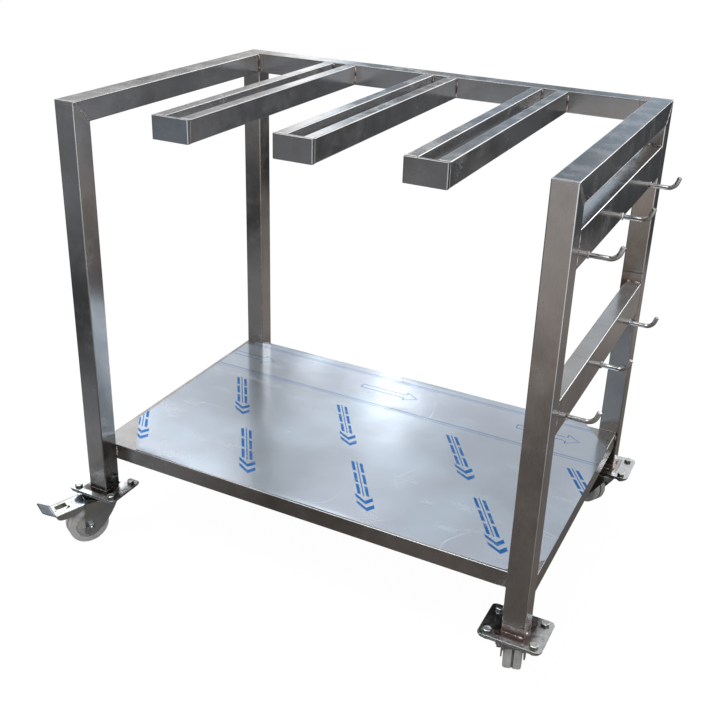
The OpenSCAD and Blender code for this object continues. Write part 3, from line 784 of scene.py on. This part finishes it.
def tray_ring(inset, z):
    """The outline of the tray at a height, drawn in by an inset."""
    long, wide = (size - 2 * inset for size in TRAY_SIZE)
    outline = rounded_section(long, wide, TRAY_ROUND) + np.array(MIDDLE)
    return rack(outline[:, 0], outline[:, 1], z)


bend_z = SHELF_Z - TRAY_ROUND
tray_levels = [(0, TRAY_LOW), (0, TRAY_LOW + 1.5), (0, bend_z - 1)]
tray_levels += [(TRAY_ROUND * (1 - np.cos(t)), bend_z + TRAY_ROUND * np.sin(t)) for t in quarter_turn(6)]
tray_levels += [(TRAY_ROUND + 2, SHELF_Z), (12, SHELF_Z)]
grid = np.array([tray_ring(inset, z) for inset, z in tray_levels])
points, quads, ends = sheet_of(grid, around=True, closed=True)
on_frame("shelf_tray_sheet", (points, quads, ends[1:]), tray_steel, "shelf_tray",
         inside=rack(*MIDDLE, 180), wall=1.2 * MM)


def folded_strip(path, thickness, start, end):
    """A sheet bent along a path of Y and Z, from one X to another. The outline runs along one side
    of the path and back along the other."""
    path = rounded_path(path, 3.0)
    ahead = unit(np.gradient(path, axis=0))
    side = np.stack([-ahead[:, 1], ahead[:, 0]], axis=1) * thickness / 2
    outline = np.concatenate([path + side, (path - side)[::-1]])
    grid = np.array([rack(x, outline[:, 0], outline[:, 1]) for x in (start, end)])
    return solid(grid)


flange_z, web_z = 198.2, 174.4
half_hat = np.array([(44.4, flange_z), (29.4, flange_z), (29.4, web_z)])
hat = np.concatenate([half_hat * (-1, 1), half_hat[::-1]]) + (DEPTH / 2, 0)
on_frame("shelf_stiffener_strip", folded_strip(hat, 1.2, 5.2, 894.8), tray_steel, "shelf_stiffener",
         rounding=0.2 * MM)

# The film lies on the tray, with its corners cut off and its edges lifting here and there
FILM_LEFT, FILM_RIGHT, FILM_FRONT, FILM_BACK = 13.0, 896.0, 43.0, 584.0


def corner_cut(distance, wide, deep):
    """How much a slanted cut takes off a side at a distance from the corner."""
    return wide * np.clip(1 - distance / deep, 0, 1)


v = np.linspace(FILM_FRONT, FILM_BACK, 121)[:, None]
from_front, from_back = v - FILM_FRONT, FILM_BACK - v
left = FILM_LEFT + corner_cut(from_front, 72, 104) + corner_cut(from_back, 36, 30)
right = FILM_RIGHT - corner_cut(from_front, 52, 58) - corner_cut(from_back, 64, 78)
u = np.linspace(0, 1, 181)[None, :]
x = left + u * (right - left)
edge = np.minimum(np.minimum(x - left, right - x), np.minimum(from_front, from_back))
v = np.broadcast_to(v, x.shape)
lift = np.exp(-edge / 5.0) * (0.5 + 0.5 * np.sin(x / 61) * np.sin(v / 47 + 1)) ** 2
ripple = np.sin(x / 83 + 2 * np.sin(v / 190)) * np.sin(v / 71 + 1.3 * np.sin(x / 240))
z = SHELF_Z + 0.22 + 0.10 * ripple + 0.9 * lift
on_frame("protective_film_sheet", sheet_of(rack(x, v, z)), film_sheet("film"), "protective_film",
         slot="film", inside=rack(*MIDDLE, 100), wall=0.1 * MM)

# Welds of the frame


def frame_welds():
    """Every bead of the frame by its place: ends in rack millimetres, radius and up direction."""
    low, high = HEIGHT - SIDE + 2, HEIGHT - 2.5
    rear = DEPTH - SIDE
    arms, corners, rails, feet, shelf = [], [], [], [], []

    def upright(group, x, y, bottom, top, radius):
        group.append(((x, y, bottom), (x, y, top), radius, (0, 1, 0)))

    def along_rail_end(y, z):
        rails.append(((WIDTH - RAIL_DEEP + 2, y, z), (WIDTH - 3, y, z), 1.3, (0, 0, 1)))

    for arm in ARMS:
        for side in ("left", "right"):
            box = np.array(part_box(f"{arm}_arm_{side}_tube"))[:, 0]
            for edge, way in zip((box - LEFT) / MM, (-1, 1)):
                start, end = (edge + way * 0.4, rear - 0.4, low), (edge + way * 0.3, rear - 0.3, high)
                arms.append((start, end, 1.4, (0, 1, 0)))
        plate = (np.array(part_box(arm + "_arm_end_plate")) - (LEFT, FRONT, 0)) / MM
        for edge, way in ((plate[0, 0] + 20, 1), (plate[1, 0] - 20, -1)):
            upright(arms, edge + way * 0.3, plate[1, 1] + 0.3, low, high, 1.5)
    for x, way in ((SIDE, 1), (WIDTH - SIDE, -1)):
        upright(corners, x + way * 0.4, rear - 0.4, low, high, 1.5)
        for front, sign in ((0, 1), (DEPTH, -1)):
            for face in (0, SIDE):
                outer = x - way * SIDE + way * face
                start = (outer, front + sign * 2.5, HEIGHT - 2.5)
                end = (outer, front + sign * 37.5, HEIGHT - 37.5)
                corners.append((start, end, 0.45, (1, 0, 0)))
    for z in RAIL_TOPS.values():
        bottom, top = z - RAIL_HIGH + 3, z - 3
        for y, way in ((SIDE, 1), (rear, -1)):
            upright(rails, WIDTH - RAIL_DEEP - 0.4, y + way * 0.4, bottom, top, 1.4)
            along_rail_end(y + way * 0.4, z + 0.2)
            along_rail_end(y + way * 0.4, z - RAIL_HIGH - 0.2)
            upright(rails, WIDTH - 0.3, y + way * 0.2, bottom, top, 0.4)
    for x in (SIDE / 2, WIDTH - SIDE / 2):
        for y in (SIDE / 2, DEPTH - SIDE / 2):
            r = SIDE / 2 + 0.2
            loop = [(x - r, y - r), (x + r, y - r), (x + r, y + r), (x - r, y + r), (x - r, y - r)]
            for start, end in zip(loop, loop[1:]):
                feet.append(((*start, HEAD_Z + 0.4), (*end, HEAD_Z + 0.2), 1.5, (0, 0, 1)))
    for y, way in ((SIDE, 1), (rear, -1)):
        for x, side in ((SIDE, 1), (WIDTH - SIDE, -1)):
            upright(shelf, x + side * 0.4, y - way * 0.2, TRAY_LOW + 3, SHELF_Z - 4, 1.5)
            upright(shelf, x - side * 36.2, y + way * 0.5, 183, 193, 1.6)
    return {"arm_welds": arms, "corner_welds": corners, "hook_rail_welds": rails, "foot_welds": feet,
            "shelf_welds": shelf}


for count, (name, beads) in enumerate(frame_welds().items()):
    shapes = [bead(start, end, r, 100 * count + i, up) for i, (start, end, r, up) in enumerate(beads)]
    on_frame(name, shapes, weld, sharp=75)

# Foot plates and bolts


def plate(place, size, low, high):
    """A bolted plate with round corners."""
    x, y, z = slab(rounded_section(*size, 8, 7), low, high, 0.45)
    return solid(caster(place, x, y, z, turned=False))


for place in POSTS:
    foot, top = plate(place, (110, 85), FOOT_Z, HEAD_Z), plate(place, (105, 85), PLATE_Z, FOOT_Z)
    on_frame(place + "_foot_sheet", foot, foot_steel, place + "_foot_plate", slot="galvanised")
    on_frame(place + "_top_sheet", top, zinc, place + "_top_plate", slot="zinc")

BOLT_PLACES = [(x, y) for x in (-40, 40) for y in (-30, 30)]


def thread(low, high, radius):
    """The profile of a threaded end from its tip: ridges and grooves of a screw thread."""
    pitch = 1.25
    z = np.arange(low + 0.8, high, pitch / 2)
    depth = np.where(np.arange(len(z)) % 2, 0.12, 0.5)
    return [(radius - 1.6, low), (radius - 0.9, low)] + list(zip(radius - depth, z))


def hexagon(flats):
    """A hexagon's half width across its flats and across its corners, and its chamfer's depth."""
    flat = flats / 2
    corner = flat / np.cos(np.pi / 6)
    return flat, corner, (corner - flat * 0.94) * 0.55


def bolt_profile(low, seat, head, radius, flats):
    """A hexagon bolt from its threaded end up to its head, chamfered at the corners."""
    flat, corner, chamfer = hexagon(flats)
    top = seat + head
    return [
        (0.3, low), *thread(low, low + 9, radius), (radius, low + 9.4), (radius, seat - 0.01),
        (flat * 0.96, seat), (flat * 0.97, seat + 0.25), (corner, seat + 0.35), (corner, top - chamfer),
        (corner - (corner - flat) * 0.6, top - chamfer * 0.45), (flat * 0.94, top),
        (flat * 0.80, top - 0.15), (flat * 0.45, top - 0.25), (0.3, top - 0.25),
    ]


def nut_profile(low, high, bore, flats):
    """A hexagon nut, chamfered at both ends, from outside round to its bore."""
    flat, corner, chamfer = hexagon(flats)
    return [
        (bore + 0.6, low), (flat * 0.94, low), (corner, low + chamfer), (corner, high - chamfer),
        (flat * 0.94, high), (bore + 0.6, high), (bore, high - 0.5), (bore, low + 0.5),
    ]


def hexagon_parts(profile, turns, closed):
    """The mounting bolts or nuts: one at each corner of each caster's plates, turned by an angle."""
    x, y, z = revolved(profile, flats=BOLT_FLATS)
    shapes = []
    for (place, (across, behind)), turn in zip([(p, at) for p in POSTS for at in BOLT_PLACES], turns):
        c, s = np.cos(turn), np.sin(turn)
        grid = caster(place, across + c * x - s * y, behind + s * x + c * y, z, turned=False)
        shapes.append((solid if closed else ring)(grid))
    return shapes


turns = np.random.default_rng(7).uniform(0, np.pi / 3, 64)
shapes = hexagon_parts(bolt_profile(97.5, HEAD_Z, 5.3, 4.0, BOLT_FLATS), turns, True)
on_frame("mounting_bolt_set", shapes, bolt_zinc, "mounting_bolts", slot="zinc", sharp=30)
shapes = hexagon_parts(nut_profile(PLATE_Z - 6.5, PLATE_Z, 4.02, BOLT_FLATS), turns[20:], False)
on_frame("mounting_nut_set", shapes, zinc, "mounting_nuts", slot="zinc", sharp=30)

# Casters


def on_axis(place, profile, steps=48, hollow=False):
    """A part turned on the swivel axis."""
    c, s, z = revolved(profile, steps)
    return (ring if hollow else solid)(caster(place, c, s, z))


def across_wheel(place, grids, z=AXLE_Z, hollow=False, way=1):
    """A part turned on an axis that runs across the wheel above or at its axle. Its heights run to
    the left of the wheel's plane, or to the right with a way of -1."""
    c, d, h = grids
    return (ring if hollow else solid)(caster(place, TRAIL + c, way * h, z + d))


# The lower edge of the fork's sides, by distance behind the swivel axis
LOW_S = np.array([-24.5, -16, -8, 0, 6, 12, 18, 25, 34, 42, 46.5, 48, 48.7, 49])
LOW_Z = np.array([86.6, 76.5, 65, 52.8, 44.5, 36.5, 30.4, 26.2, 23.2, 22.1, 22.2, 22.9, 24.2, 26.5])


def fork_sheet(place):
    """A fork from one sheet. Columns follow its plan from the rear of one side, round the nose to
    the rear of the other; rows rise up the side, round the shoulder and in over the crown to the
    middle line. The sides' rear edges lean back towards their feet."""
    rear = np.array([49, 48.7, 48.2, 47.2, 45, 42, 38, 34, 30, 27.5, 26, 24, 22, 18, 13, 8, 3, -3.5])
    nose = np.radians(np.linspace(0, 180, 27))[1:-1]
    centre, crown_end, shoulder, bend = FORK_HALF - FORK_NOSE, 22.0, 90.0, 4.0
    flat = np.full(len(rear), FORK_HALF)
    s = np.concatenate([rear, centre - FORK_HALF * np.sin(nose), rear[::-1]])
    lateral = np.concatenate([flat, FORK_HALF * np.cos(nose), -flat])
    spine = np.maximum(s, centre)
    low = np.interp(s, LOW_S, LOW_Z)
    crowned = np.clip((crown_end + 4 - s) / 4, 0, 1)
    rows = []

    def drawn_in(inset, z):
        rows.append((s + (spine - s) * inset, lateral * (1 - inset), z))

    for t in np.concatenate([[0, 0.012], np.linspace(0.1, 0.9, 7), [0.985, 1]]):
        z = low + (shoulder - low) * t
        lean = 5 * np.clip((LEG_Z - z) / 67, 0, 1) * np.clip((s - 26) / 23, 0, 1)
        rows.append((s + lean, lateral, z))
    for t in quarter_turn(6)[1:]:
        rise = crowned * bend * np.sin(t) + (1 - crowned) * (LEG_Z - shoulder) * t / (np.pi / 2)
        drawn_in(bend * (1 - np.cos(t)) * crowned / FORK_HALF, shoulder + rise)
    walls = len(rows) - 1
    for t in (0.06, 0.35, 0.7, 1.0):
        drawn_in(bend / FORK_HALF + (1 - bend / FORK_HALF) * t, np.full_like(s, CROWN_Z))
    grid = caster(place, *(np.array(values) for values in zip(*rows)))
    keep = np.ones((len(rows) - 1, len(s) - 1), bool)
    keep[walls:, np.maximum(s[:-1], s[1:]) > crown_end + 0.01] = False
    return sheet_of(grid, keep=keep)


def wheel_profile():
    """The wheel's section: hub, recessed web, rim, tread with round edges and its groove."""
    near = np.array([
        (5.08, 18.2), (12, 18.2), (12.6, 9.5), (26.2, 9), (27.4, 16), (40, 16), (40, 2), (38.5, 2)])
    radii = np.array([0.4, 0.8, 3, 3, 1.4, 4.8, 0.6, 0.5])
    whole = np.concatenate([near, near[::-1] * (1, -1)])
    return rounded_path(whole, np.concatenate([radii, radii[::-1]]), 6, closed=True)


# The lower edge of the pedals' skirts, and where the top bends up into the lip
SKIRT_S = np.array([50.5, 55.5, 62, 68.5, 79, 88.5, 97, 102.5, 105, 107.2, 108.5])
SKIRT_Z = np.array([93.4, 81.5, 77.8, 75.9, 73.6, 72.2, 72.8, 74.6, 77, 82, 85.6])
LIP_S = 108.5
# The window in a pedal's top and the wider notch at its left, along the pedal and across it
WINDOW_S, WINDOW_HALF = (79.5, 101.5), 11
NOTCH_S, NOTCH_START = (75.5, 105.5), 3


def pedal_sheet(place):
    """A pedal from one sheet. Columns run along it: down the slanted top, round the bend and up the
    lip; rows go up one skirt, round its edge, across the top and down the other skirt. The window
    and its notches are left out of the top."""
    line = rounded_path([(50.5, 94.4), (LIP_S, 86.0), (131.5, 101.5)], 5, 9)
    s = np.unique(np.concatenate([
        [50.5, 51.5, 55.5, 62, 68.5, 86, 92, 97, 104, 107, LIP_S, 110, 112, 118, 125, 130, 131.5],
        WINDOW_S, NOTCH_S, np.linspace(LIP_S - 4, LIP_S + 4, 9)]))
    top = np.interp(s, line[:, 0], line[:, 1])
    depth = top - np.interp(s, SKIRT_S, SKIRT_Z)
    depth[s > LIP_S - 0.1] = 0
    bend_r = np.minimum(3.2, depth * 0.8)
    half = np.where(s > LIP_S, FORK_HALF - 3.5 * np.clip((s - 126) / 5.5, 0, 1) ** 2, FORK_HALF)
    skirt = [(half, top - depth + (depth - bend_r) * t) for t in (0, 0.04, 0.5, 0.96, 1)]
    skirt += [(half - bend_r * (1 - np.cos(t)), top - bend_r + bend_r * np.sin(t))
              for t in quarter_turn(6)[1:]]
    stops = (16.5, WINDOW_HALF, NOTCH_START, 0, -NOTCH_START, -WINDOW_HALF, -16.5)
    flat = [(np.full_like(s, across), top) for across in stops]
    rows = skirt + flat + [(-lateral, z) for lateral, z in skirt[::-1]]
    lateral, z = (np.array(values) for values in zip(*rows))
    keep = np.ones((len(rows) - 1, len(s) - 1), bool)
    below = len(skirt) - 1
    keep[:below, s[1:] > LIP_S + 0.1] = False
    keep[-below:, s[1:] > LIP_S + 0.1] = False
    middle_s = (s[:-1] + s[1:]) / 2
    middle_l = ((lateral[:-1, 0] + lateral[1:, 0]) / 2)[:, None]
    window = (np.abs(middle_l) < WINDOW_HALF) & (middle_s > WINDOW_S[0]) & (middle_s < WINDOW_S[1])
    notch = (middle_l > NOTCH_START) & (middle_l < WINDOW_HALF)
    notch = notch & (middle_s > NOTCH_S[0]) & (middle_s < NOTCH_S[1])
    on_top = slice(len(skirt), len(skirt) + len(flat) - 1)
    keep[on_top] &= ~(window | notch)[on_top]
    return sheet_of(caster(place, np.broadcast_to(s, lateral.shape), lateral, z), keep=keep)


def ear(place, side):
    """A pedal's ear: a flat plate that hangs on the pin inside the fork."""
    turn = np.radians(np.linspace(100, 250, 9))
    eye = np.stack([TRAIL + 4.5 * np.cos(turn), PIN_Z + 4.5 * np.sin(turn)], axis=1)
    outline = np.concatenate([eye, [(44, 81.6), (58, 86), (58.4, 92.4), (52.5, 93.2), (50.5, 91.8)]])
    s, z, lateral = slab(outline, 16.6, 18.1, 0.25)
    return solid(caster(place, s, side * lateral, z))


def shoe_strip(place):
    """A brake shoe: a section with round corners carried along an arc round the wheel, and a stem."""
    turn = np.radians(np.linspace(38, 72, 18))[:, None]
    section = rounded_section(3.0, 28.0, 0.8)
    shoe_r = 47.35
    r = shoe_r + section[None, :, 0]
    lateral = np.broadcast_to(section[None, :, 1], (len(turn), len(section)))
    strip = caster(place, TRAIL + r * np.cos(turn), lateral, AXLE_Z + r * np.sin(turn))
    plan = rounded_section(8.0, 14.0, 1.0) + (62, 0)
    low = AXLE_Z + np.sqrt(shoe_r**2 - (plan[:, 0] - TRAIL) ** 2)
    high = 92.8 - (plan[:, 0] - 50.5) * 8.4 / 58
    stem = np.array([caster(place, plan[:, 0], plan[:, 1], z) for z in (low, high)])
    return [solid(strip), solid(stem)]


race = [
    (6, 94.3), (18.6, 94.3), (19, 97.6), (18.1, 98.3), (19, 99.0), (19, 102.6), (22, 103.2), (22, PLATE_Z),
    (6, PLATE_Z)]
RACE = rounded_path(race, [0, 1, 0.3, 0.3, 0.3, 1.2, 1, 0.2, 0], 4, closed=True)
rivet = [(0.4, 87.2), (6.5, 87.3), (9, 89), (9, 91.2), (5, 91.2), (5, 108.8), (0.4, 108.8)]
RIVET = np.concatenate([rivet[:1], rounded_path(rivet, [0, 1.5, 1, 0.3, 0.2, 0.6, 0], 4)[1:]])
AXLE_BOLT = bolt_profile(-31, 21, 6.4, 5.0, AXLE_FLATS)
AXLE_NUT = nut_profile(-29, -21, 5.02, AXLE_FLATS)
PIN = [(0.3, -20.8), (2.0, -20.8), (2.5, -20.3), (2.5, 20.3), (2.0, 20.8), (0.3, 20.8)]
WHEEL = wheel_profile()
WHEEL_STEPS = 96


def wheel(place):
    """A wheel, with the share of its groove that is darker as an attribute of its points."""
    shape = across_wheel(place, revolved(WHEEL, WHEEL_STEPS), hollow=True)
    obj = piece(place + "_wheel_body", shape, sharp=50)
    radius, lateral = WHEEL.T
    groove = np.clip((40.0 - radius) / 1.2, 0, 1) * (np.abs(lateral) < 3)
    dirt = obj.data.attributes.new("dirt", "FLOAT", "POINT")
    dirt.data.foreach_set("value", np.repeat(groove, WHEEL_STEPS))
    return obj


def caster_parts(place):
    """The parts of a caster below its plates: piece, material, body, slot and node."""
    swivel = place + "_caster"
    race = piece(place + "_race_rings", on_axis(place, RACE, 64, hollow=True), sharp=30)
    kingpin = piece(place + "_kingpin_rivet", on_axis(place, RIVET), sharp=30)
    inside = caster(place, 10, 0, 70)
    fork = piece(place + "_fork_pressing", fork_sheet(place), inside, FORK_T * MM, 0.5 * MM, join=True)
    axle = [across_wheel(place, revolved(AXLE_BOLT, flats=AXLE_FLATS), way=-1),
            across_wheel(place, revolved(AXLE_NUT, flats=AXLE_FLATS), hollow=True, way=-1)]
    return [
        (race, zinc, "frame", "zinc", place + "_ball_race"),
        (kingpin, zinc, "frame", "zinc", place + "_kingpin"),
        (fork, zinc, swivel, "zinc", place + "_fork"),
        (wheel(place), grey_wheel, place + "_wheel", "grey_wheel", place + "_wheel"),
        (piece(place + "_axle_bolt", axle, sharp=30), zinc, swivel, "zinc", place + "_axle"),
    ]


def brake_parts(place):
    """The parts of a front caster's brake, as above."""
    brake, pedal = place + "_brake", place + "_brake_pedal"
    inside = caster(place, 80, 0, 78)
    sheet = piece(place + "_pedal_sheet", pedal_sheet(place), inside, 1.5 * MM, 0.35 * MM, join=True)
    ears = piece(place + "_pedal_ears", [ear(place, side) for side in (-1, 1)])
    shoe = piece(place + "_shoe_strip", shoe_strip(place))
    pin = piece(place + "_hinge_pin", across_wheel(place, revolved(PIN, 32), PIN_Z))
    return [
        (sheet, pedal_zinc, brake, "zinc", pedal),
        (ears, pedal_zinc, brake, "zinc", pedal),
        (shoe, yellow_zinc, brake, "yellow_zinc", place + "_brake_shoe"),
        (pin, zinc, place + "_caster", "zinc", place + "_pedal_pin"),
    ]


for place in POSTS:
    for part in caster_parts(place) + (brake_parts(place) if place.startswith("front") else []):
        dress(*part)

# Studio


def flat_stage(name, corners, paint, unseen_by=()):
    """A flat four-sided piece of the studio, unseen by some kinds of rays."""
    obj = piece(name, (np.array(corners, float), np.array([[0, 1, 2, 3]]), []))
    obj.data.materials.append(paint)
    for ray in unseen_by:
        setattr(obj, "visible_" + ray, False)


def card(name, corners, paint):
    """A flat card that shows only in the gloss of the metal, as a photographer's boards do."""
    flat_stage(name, corners, paint, ("camera", "diffuse", "shadow", "transmission"))


def low_board_tones(name):
    """Tones of the board on the floor, in metres from the rack's front left corner: almost black
    under the rack, lighter with the distance in front of it, cool, but warm in front of its right
    side, bright to the right of its front, and dark behind that."""
    g = Graph(name)
    x, y = g.across / 1000.0, g.behind / 1000.0
    cloud = g.noise(0.9, 2) - 0.5

    def patch(at_x, at_y, reach):
        """The share of a round patch of the board."""
        return (x - at_x).away(y - at_y).ramp(reach, reach * 0.2)

    near = x.ramp(-0.9, -0.25, 0.05, 0.18) - x.ramp(0.5, 0.9) * 0.015 - patch(0.3, -0.2, 0.35) * 0.06
    away = x.ramp(-2.75, -2.35, 0.22, 0.28) + x.ramp(-2.35, -1.4) * 0.10 + x.ramp(-0.6, 0.4) * 0.28
    before_left_posts = patch(-0.48, -0.05, 0.75) * 0.22
    front = near + (away - near) * y.ramp(-0.6, -2.3) + before_left_posts
    slant = x - (y - 2.3) * 0.35
    streak = (slant.ramp(1.18, 1.4) * 0.20 - slant.ramp(1.45, 1.65) * 0.17) * y.ramp(2.8, 3.5)
    rear = (streak + slant.ramp(1.95, 2.2) * 0.23 + 0.065) * y.ramp(0.6, 2.2, 0.5, 1.0)
    rear = rear + patch(2.3, 2.15, 0.8) * 0.32 + patch(0.38, 1.15, 0.55) * 0.22
    beside = (x + y.ramp(0.7, 0.95) * 0.5).ramp(0.55, 0.8) * x.ramp(2.6, 2.0, 0.3, 1.0)
    beside = beside * y.ramp(0.0, 0.3) * y.ramp(2.4, 1.9)
    rear = rear + beside * (y.ramp(1.2, 1.6) * 0.08 + 0.14)
    tone = front + (rear - front) * y.ramp(0.15, 0.5)
    before_right = x.ramp(1.2, 3.0, 0.3, 1.7) * x.ramp(0.95, 1.25) * y.ramp(0.22, -0.05) * y.ramp(-3.8, -2.8)
    tone = (tone + before_right) * (cloud * 0.3 + 1)
    under = (abs(x - 0.56) - 0.34).most(abs(y - 0.40) - 0.22).ramp(0.06, -0.04)
    tone = tone * (1 - under * 0.88)
    warm = x.ramp(-0.5, 0.5) * y.ramp(0.5, 0.0) * y.ramp(-3.6, -2.6, 0.35, 1.0) * x.ramp(1.6, 1.1)
    colour = g.mix((warm + beside * 0.8).least(1.0), (0.96, 0.99, 1.04), (1.12, 0.98, 0.88))
    return g.glow(colour, tone.most(0.012))


def rear_board_tones(name):
    """Tones of the far board behind the rack, in metres. Its lower part shows in the tops of the
    frame: grey in the left rail and the left arm, with a white band between the arms, dark in the
    middle and blue-grey on the right. Its lowest strip is white. Its upper part shows in the shelf,
    with one bright spot and a streak. Its right end shows in the rounded edges of the tubes, bright
    below and dark above."""
    g = Graph(name)
    x, z = g.across / 1000.0, g.z
    cloud = g.noise(0.22, 3, (1, 1, 0.6)) - 0.5
    fine = g.noise(0.9, 3, (1, 1, 0.5)) - 0.5

    left_arm = (x + (z - 2.74) * 3.1).ramp(-5.5, -5.0, 0.14, 0.62)
    low = left_arm + (0.14 - left_arm) * x.ramp(-5.0, -4.4) + x.ramp(-7.8, -8.4) * 0.24
    white_band = abs(x + 6.53 - z * 0.43).ramp(0.55, 0.2) * 1.5
    right_arm = abs(x + 2.45).ramp(0.55, 0.15) * 0.20 + abs(x + 3.15).ramp(0.5, 0.1) * z.ramp(3.2, 3.5) * 0.22
    right_rail = (x + 1.6).away(z - 3.7).ramp(0.5, 0.1) * 0.18 + x.ramp(-2.2, -1.5) * 0.10
    hook_rail = (z + (x + 1.5) * 1.55).ramp(3.75, 3.95) * x.ramp(-1.9, -1.6) * 0.20
    low = (low + white_band + right_arm + right_rail + hook_rail) * (cloud * 0.6 + fine * 0.5 + 1)
    low = low + (x.ramp(-1.4, -0.6, 1.35, 0.75) - low) * z.ramp(2.5, 2.35)

    beam = abs(x + 3.76 + (z - 5.3) * 0.16)
    second = abs(x + 4.95 + (z - 5.3) * 0.3).ramp(0.30, 0.04)
    high = beam.ramp(0.36, 0.05) * z.ramp(7.6, 5.2) * 3.4 + beam.ramp(0.9, 0.1) * z.ramp(8.6, 5.2) * 0.6
    high = high + second * z.ramp(6.9, 5.4) * 2.4
    shadow = abs(x + 5.4 + z.ramp(6.3, 8.0) * 1.1).ramp(0.45, 0.1)
    high = high - shadow * z.ramp(7.9, 6.0, 0.3, 0.6)
    high = high - (x + 3.2).away(z - 6.7).ramp(0.8, 0.1) * 0.4 + x.ramp(-8.5, -2.0, 0.95, 0.92)
    high = high * (1 - z.ramp(6.2, 6.7) * x.ramp(-4.0, -3.4) * 0.22)
    high = high * (1 - z.ramp(6.9, 7.4) * x.ramp(-6.0, -6.6) * 0.22)
    high = high * (cloud * 0.6 + 1)

    rise = x.ramp(-2.0, -1.6) * x.ramp(-1.0, -1.3, -1.4, 1.0) * 0.35
    tone = low + (high - low) * (z - rise).ramp(4.1, 4.9)
    right_end = z.ramp(6.9, 6.2) * z.ramp(2.0, 2.8) * 4.2 + 0.1
    tone = tone + (right_end - tone) * x.ramp(2.1, 2.9)
    blue = z.ramp(4.9, 4.1) * (abs(x + 4.3).ramp(0.8, 0.3) + x.ramp(-3.6, -2.9) * x.ramp(2.2, 1.6))
    colour = g.mix(blue.least(1.0), (1.0, 1.0, 1.0), (0.85, 1.0, 1.17))
    return g.glow(colour, tone.most(0.03))


def window_tones(name, start, full, fading, end, bright, dark):
    """Tones of a dark board with a brighter band, by height."""
    g = Graph(name)
    return g.glow((1, 1, 1), g.z.ramp(start, full) * g.z.ramp(end, fading) * bright + dark)


def plain_tone(name, strength):
    return Graph(name).glow((1, 1, 1), strength)


def seen(g):
    """The share of rays that come from the camera, from gloss or through glass."""
    outputs = g.node("ShaderNodeLightPath").outputs
    kinds = ("Is Camera Ray", "Is Glossy Ray", "Is Transmission Ray")
    camera, gloss, glass = (Field(g, outputs[kind]) for kind in kinds)
    return (camera + gloss + glass).least(1.0)


def white_floor(size):
    """A pale floor that shows white to the camera and in the metal, and keeps the rack's shadow."""
    g = Graph("floor")
    matt = g.node("ShaderNodeBsdfDiffuse", {}, {"Color": (0.8, 0.8, 0.8)})
    glow = g.node("ShaderNodeEmission", {}, {"Color": (1, 1, 1), "Strength": 1.03})
    inputs = {0: seen(g) * 0.95, 1: matt.outputs[0], 2: glow.outputs[0]}
    paint = g.end(g.node("ShaderNodeMixShader", {}, inputs))
    flat_stage("floor", [(-size, -size, 0), (size, -size, 0), (size, size, 0), (-size, size, 0)], paint)


def white_world(strength):
    """A world that is white to the camera and in the metal, and lights the rack more softly."""
    g = Graph("white studio", bpy.data.worlds.new("white studio"))
    inputs = {"Color": (1, 1, 1), "Strength": seen(g) * (1.0 - strength) + strength}
    bpy.context.scene.world = g.end(g.node("ShaderNodeBackground", {}, inputs), "ShaderNodeOutputWorld")


def wall(name, start, end, low, high, paint):
    """An upright card from one point of the floor's plan to another."""
    card(name, [(*start, low), (*end, low), (*end, high), (*start, high)], paint)


white_floor(14.0)
white_world(0.6)

lamp = bpy.data.lights.new("lamp above", "AREA")
set_up(lamp, size=1.8, energy=46)
lamp_object = in_scene("lamp above", lamp)
lamp_object.location = Vector((-0.6, -0.8, 2.8))
to_rack = Vector((0, 0, 0.4)) - lamp_object.location
lamp_object.rotation_euler = to_rack.to_track_quat("-Z", "Y").to_euler()

low_corners = [(-8, -8, 0.004), (8, -8, 0.004), (8, 9, 0.004), (-8, 9, 0.004)]
card("low board", low_corners, low_board_tones("low board"))
wall("rear board", (-13, 9.7), (9, 9.7), 0, 11, rear_board_tones("rear board"))
side_tone = plain_tone("side board", 0.5)
dark_tone = plain_tone("dark board", 0.22)
right_band = window_tones("right board", 2.6, 3.2, 5.1, 5.9, 1.5, 0.17)
front_band = window_tones("front board", 3.2, 4.0, 6.0, 6.8, 0.75, 0.22)
wall("left board", (-9, -9), (-9, 9), 0, 4, side_tone)
wall("left front board", (-9, -9), (-9, 0), 4, 12, dark_tone)
wall("right board", (9, -9), (9, 9.6), 0, 13, right_band)
wall("front board", (-9, -9), (9, -9), 0, 12, front_band)
card("board over the left", [(-4.6, 1.5, 3.3), (-2.6, 1.5, 3.3), (-2.6, 3.8, 3.3), (-4.6, 3.8, 3.3)],
     plain_tone("bright board", 2.6))
strip_tone = plain_tone("strip light board", 3.2)
front_strip = [(-1.6, -2.4, 3.0), (1.6, -2.4, 3.0), (1.6, -1.5, 3.2), (-1.6, -1.5, 3.2)]
right_strip = [(2.2, -1.4, 3.2), (3.3, -1.4, 3.0), (3.3, 1.6, 3.0), (2.2, 1.6, 3.2)]
card("strip over the front", front_strip, strip_tone)
card("strip over the right", right_strip, strip_tone)

# Camera, from the photograph
camera_data = bpy.data.cameras.new("camera")
set_up(camera_data, lens=50.645, shift_x=0.0023, shift_y=-0.0533)
camera = in_scene("camera", camera_data)
camera.location = Vector((LEFT + 1.2153, FRONT - 1.2860, 1.2544))
camera.rotation_euler = Euler(np.radians((65.648, -1.667, 26.997)))
bpy.context.scene.camera = camera
bpy.context.scene.view_settings.view_transform = "Standard"
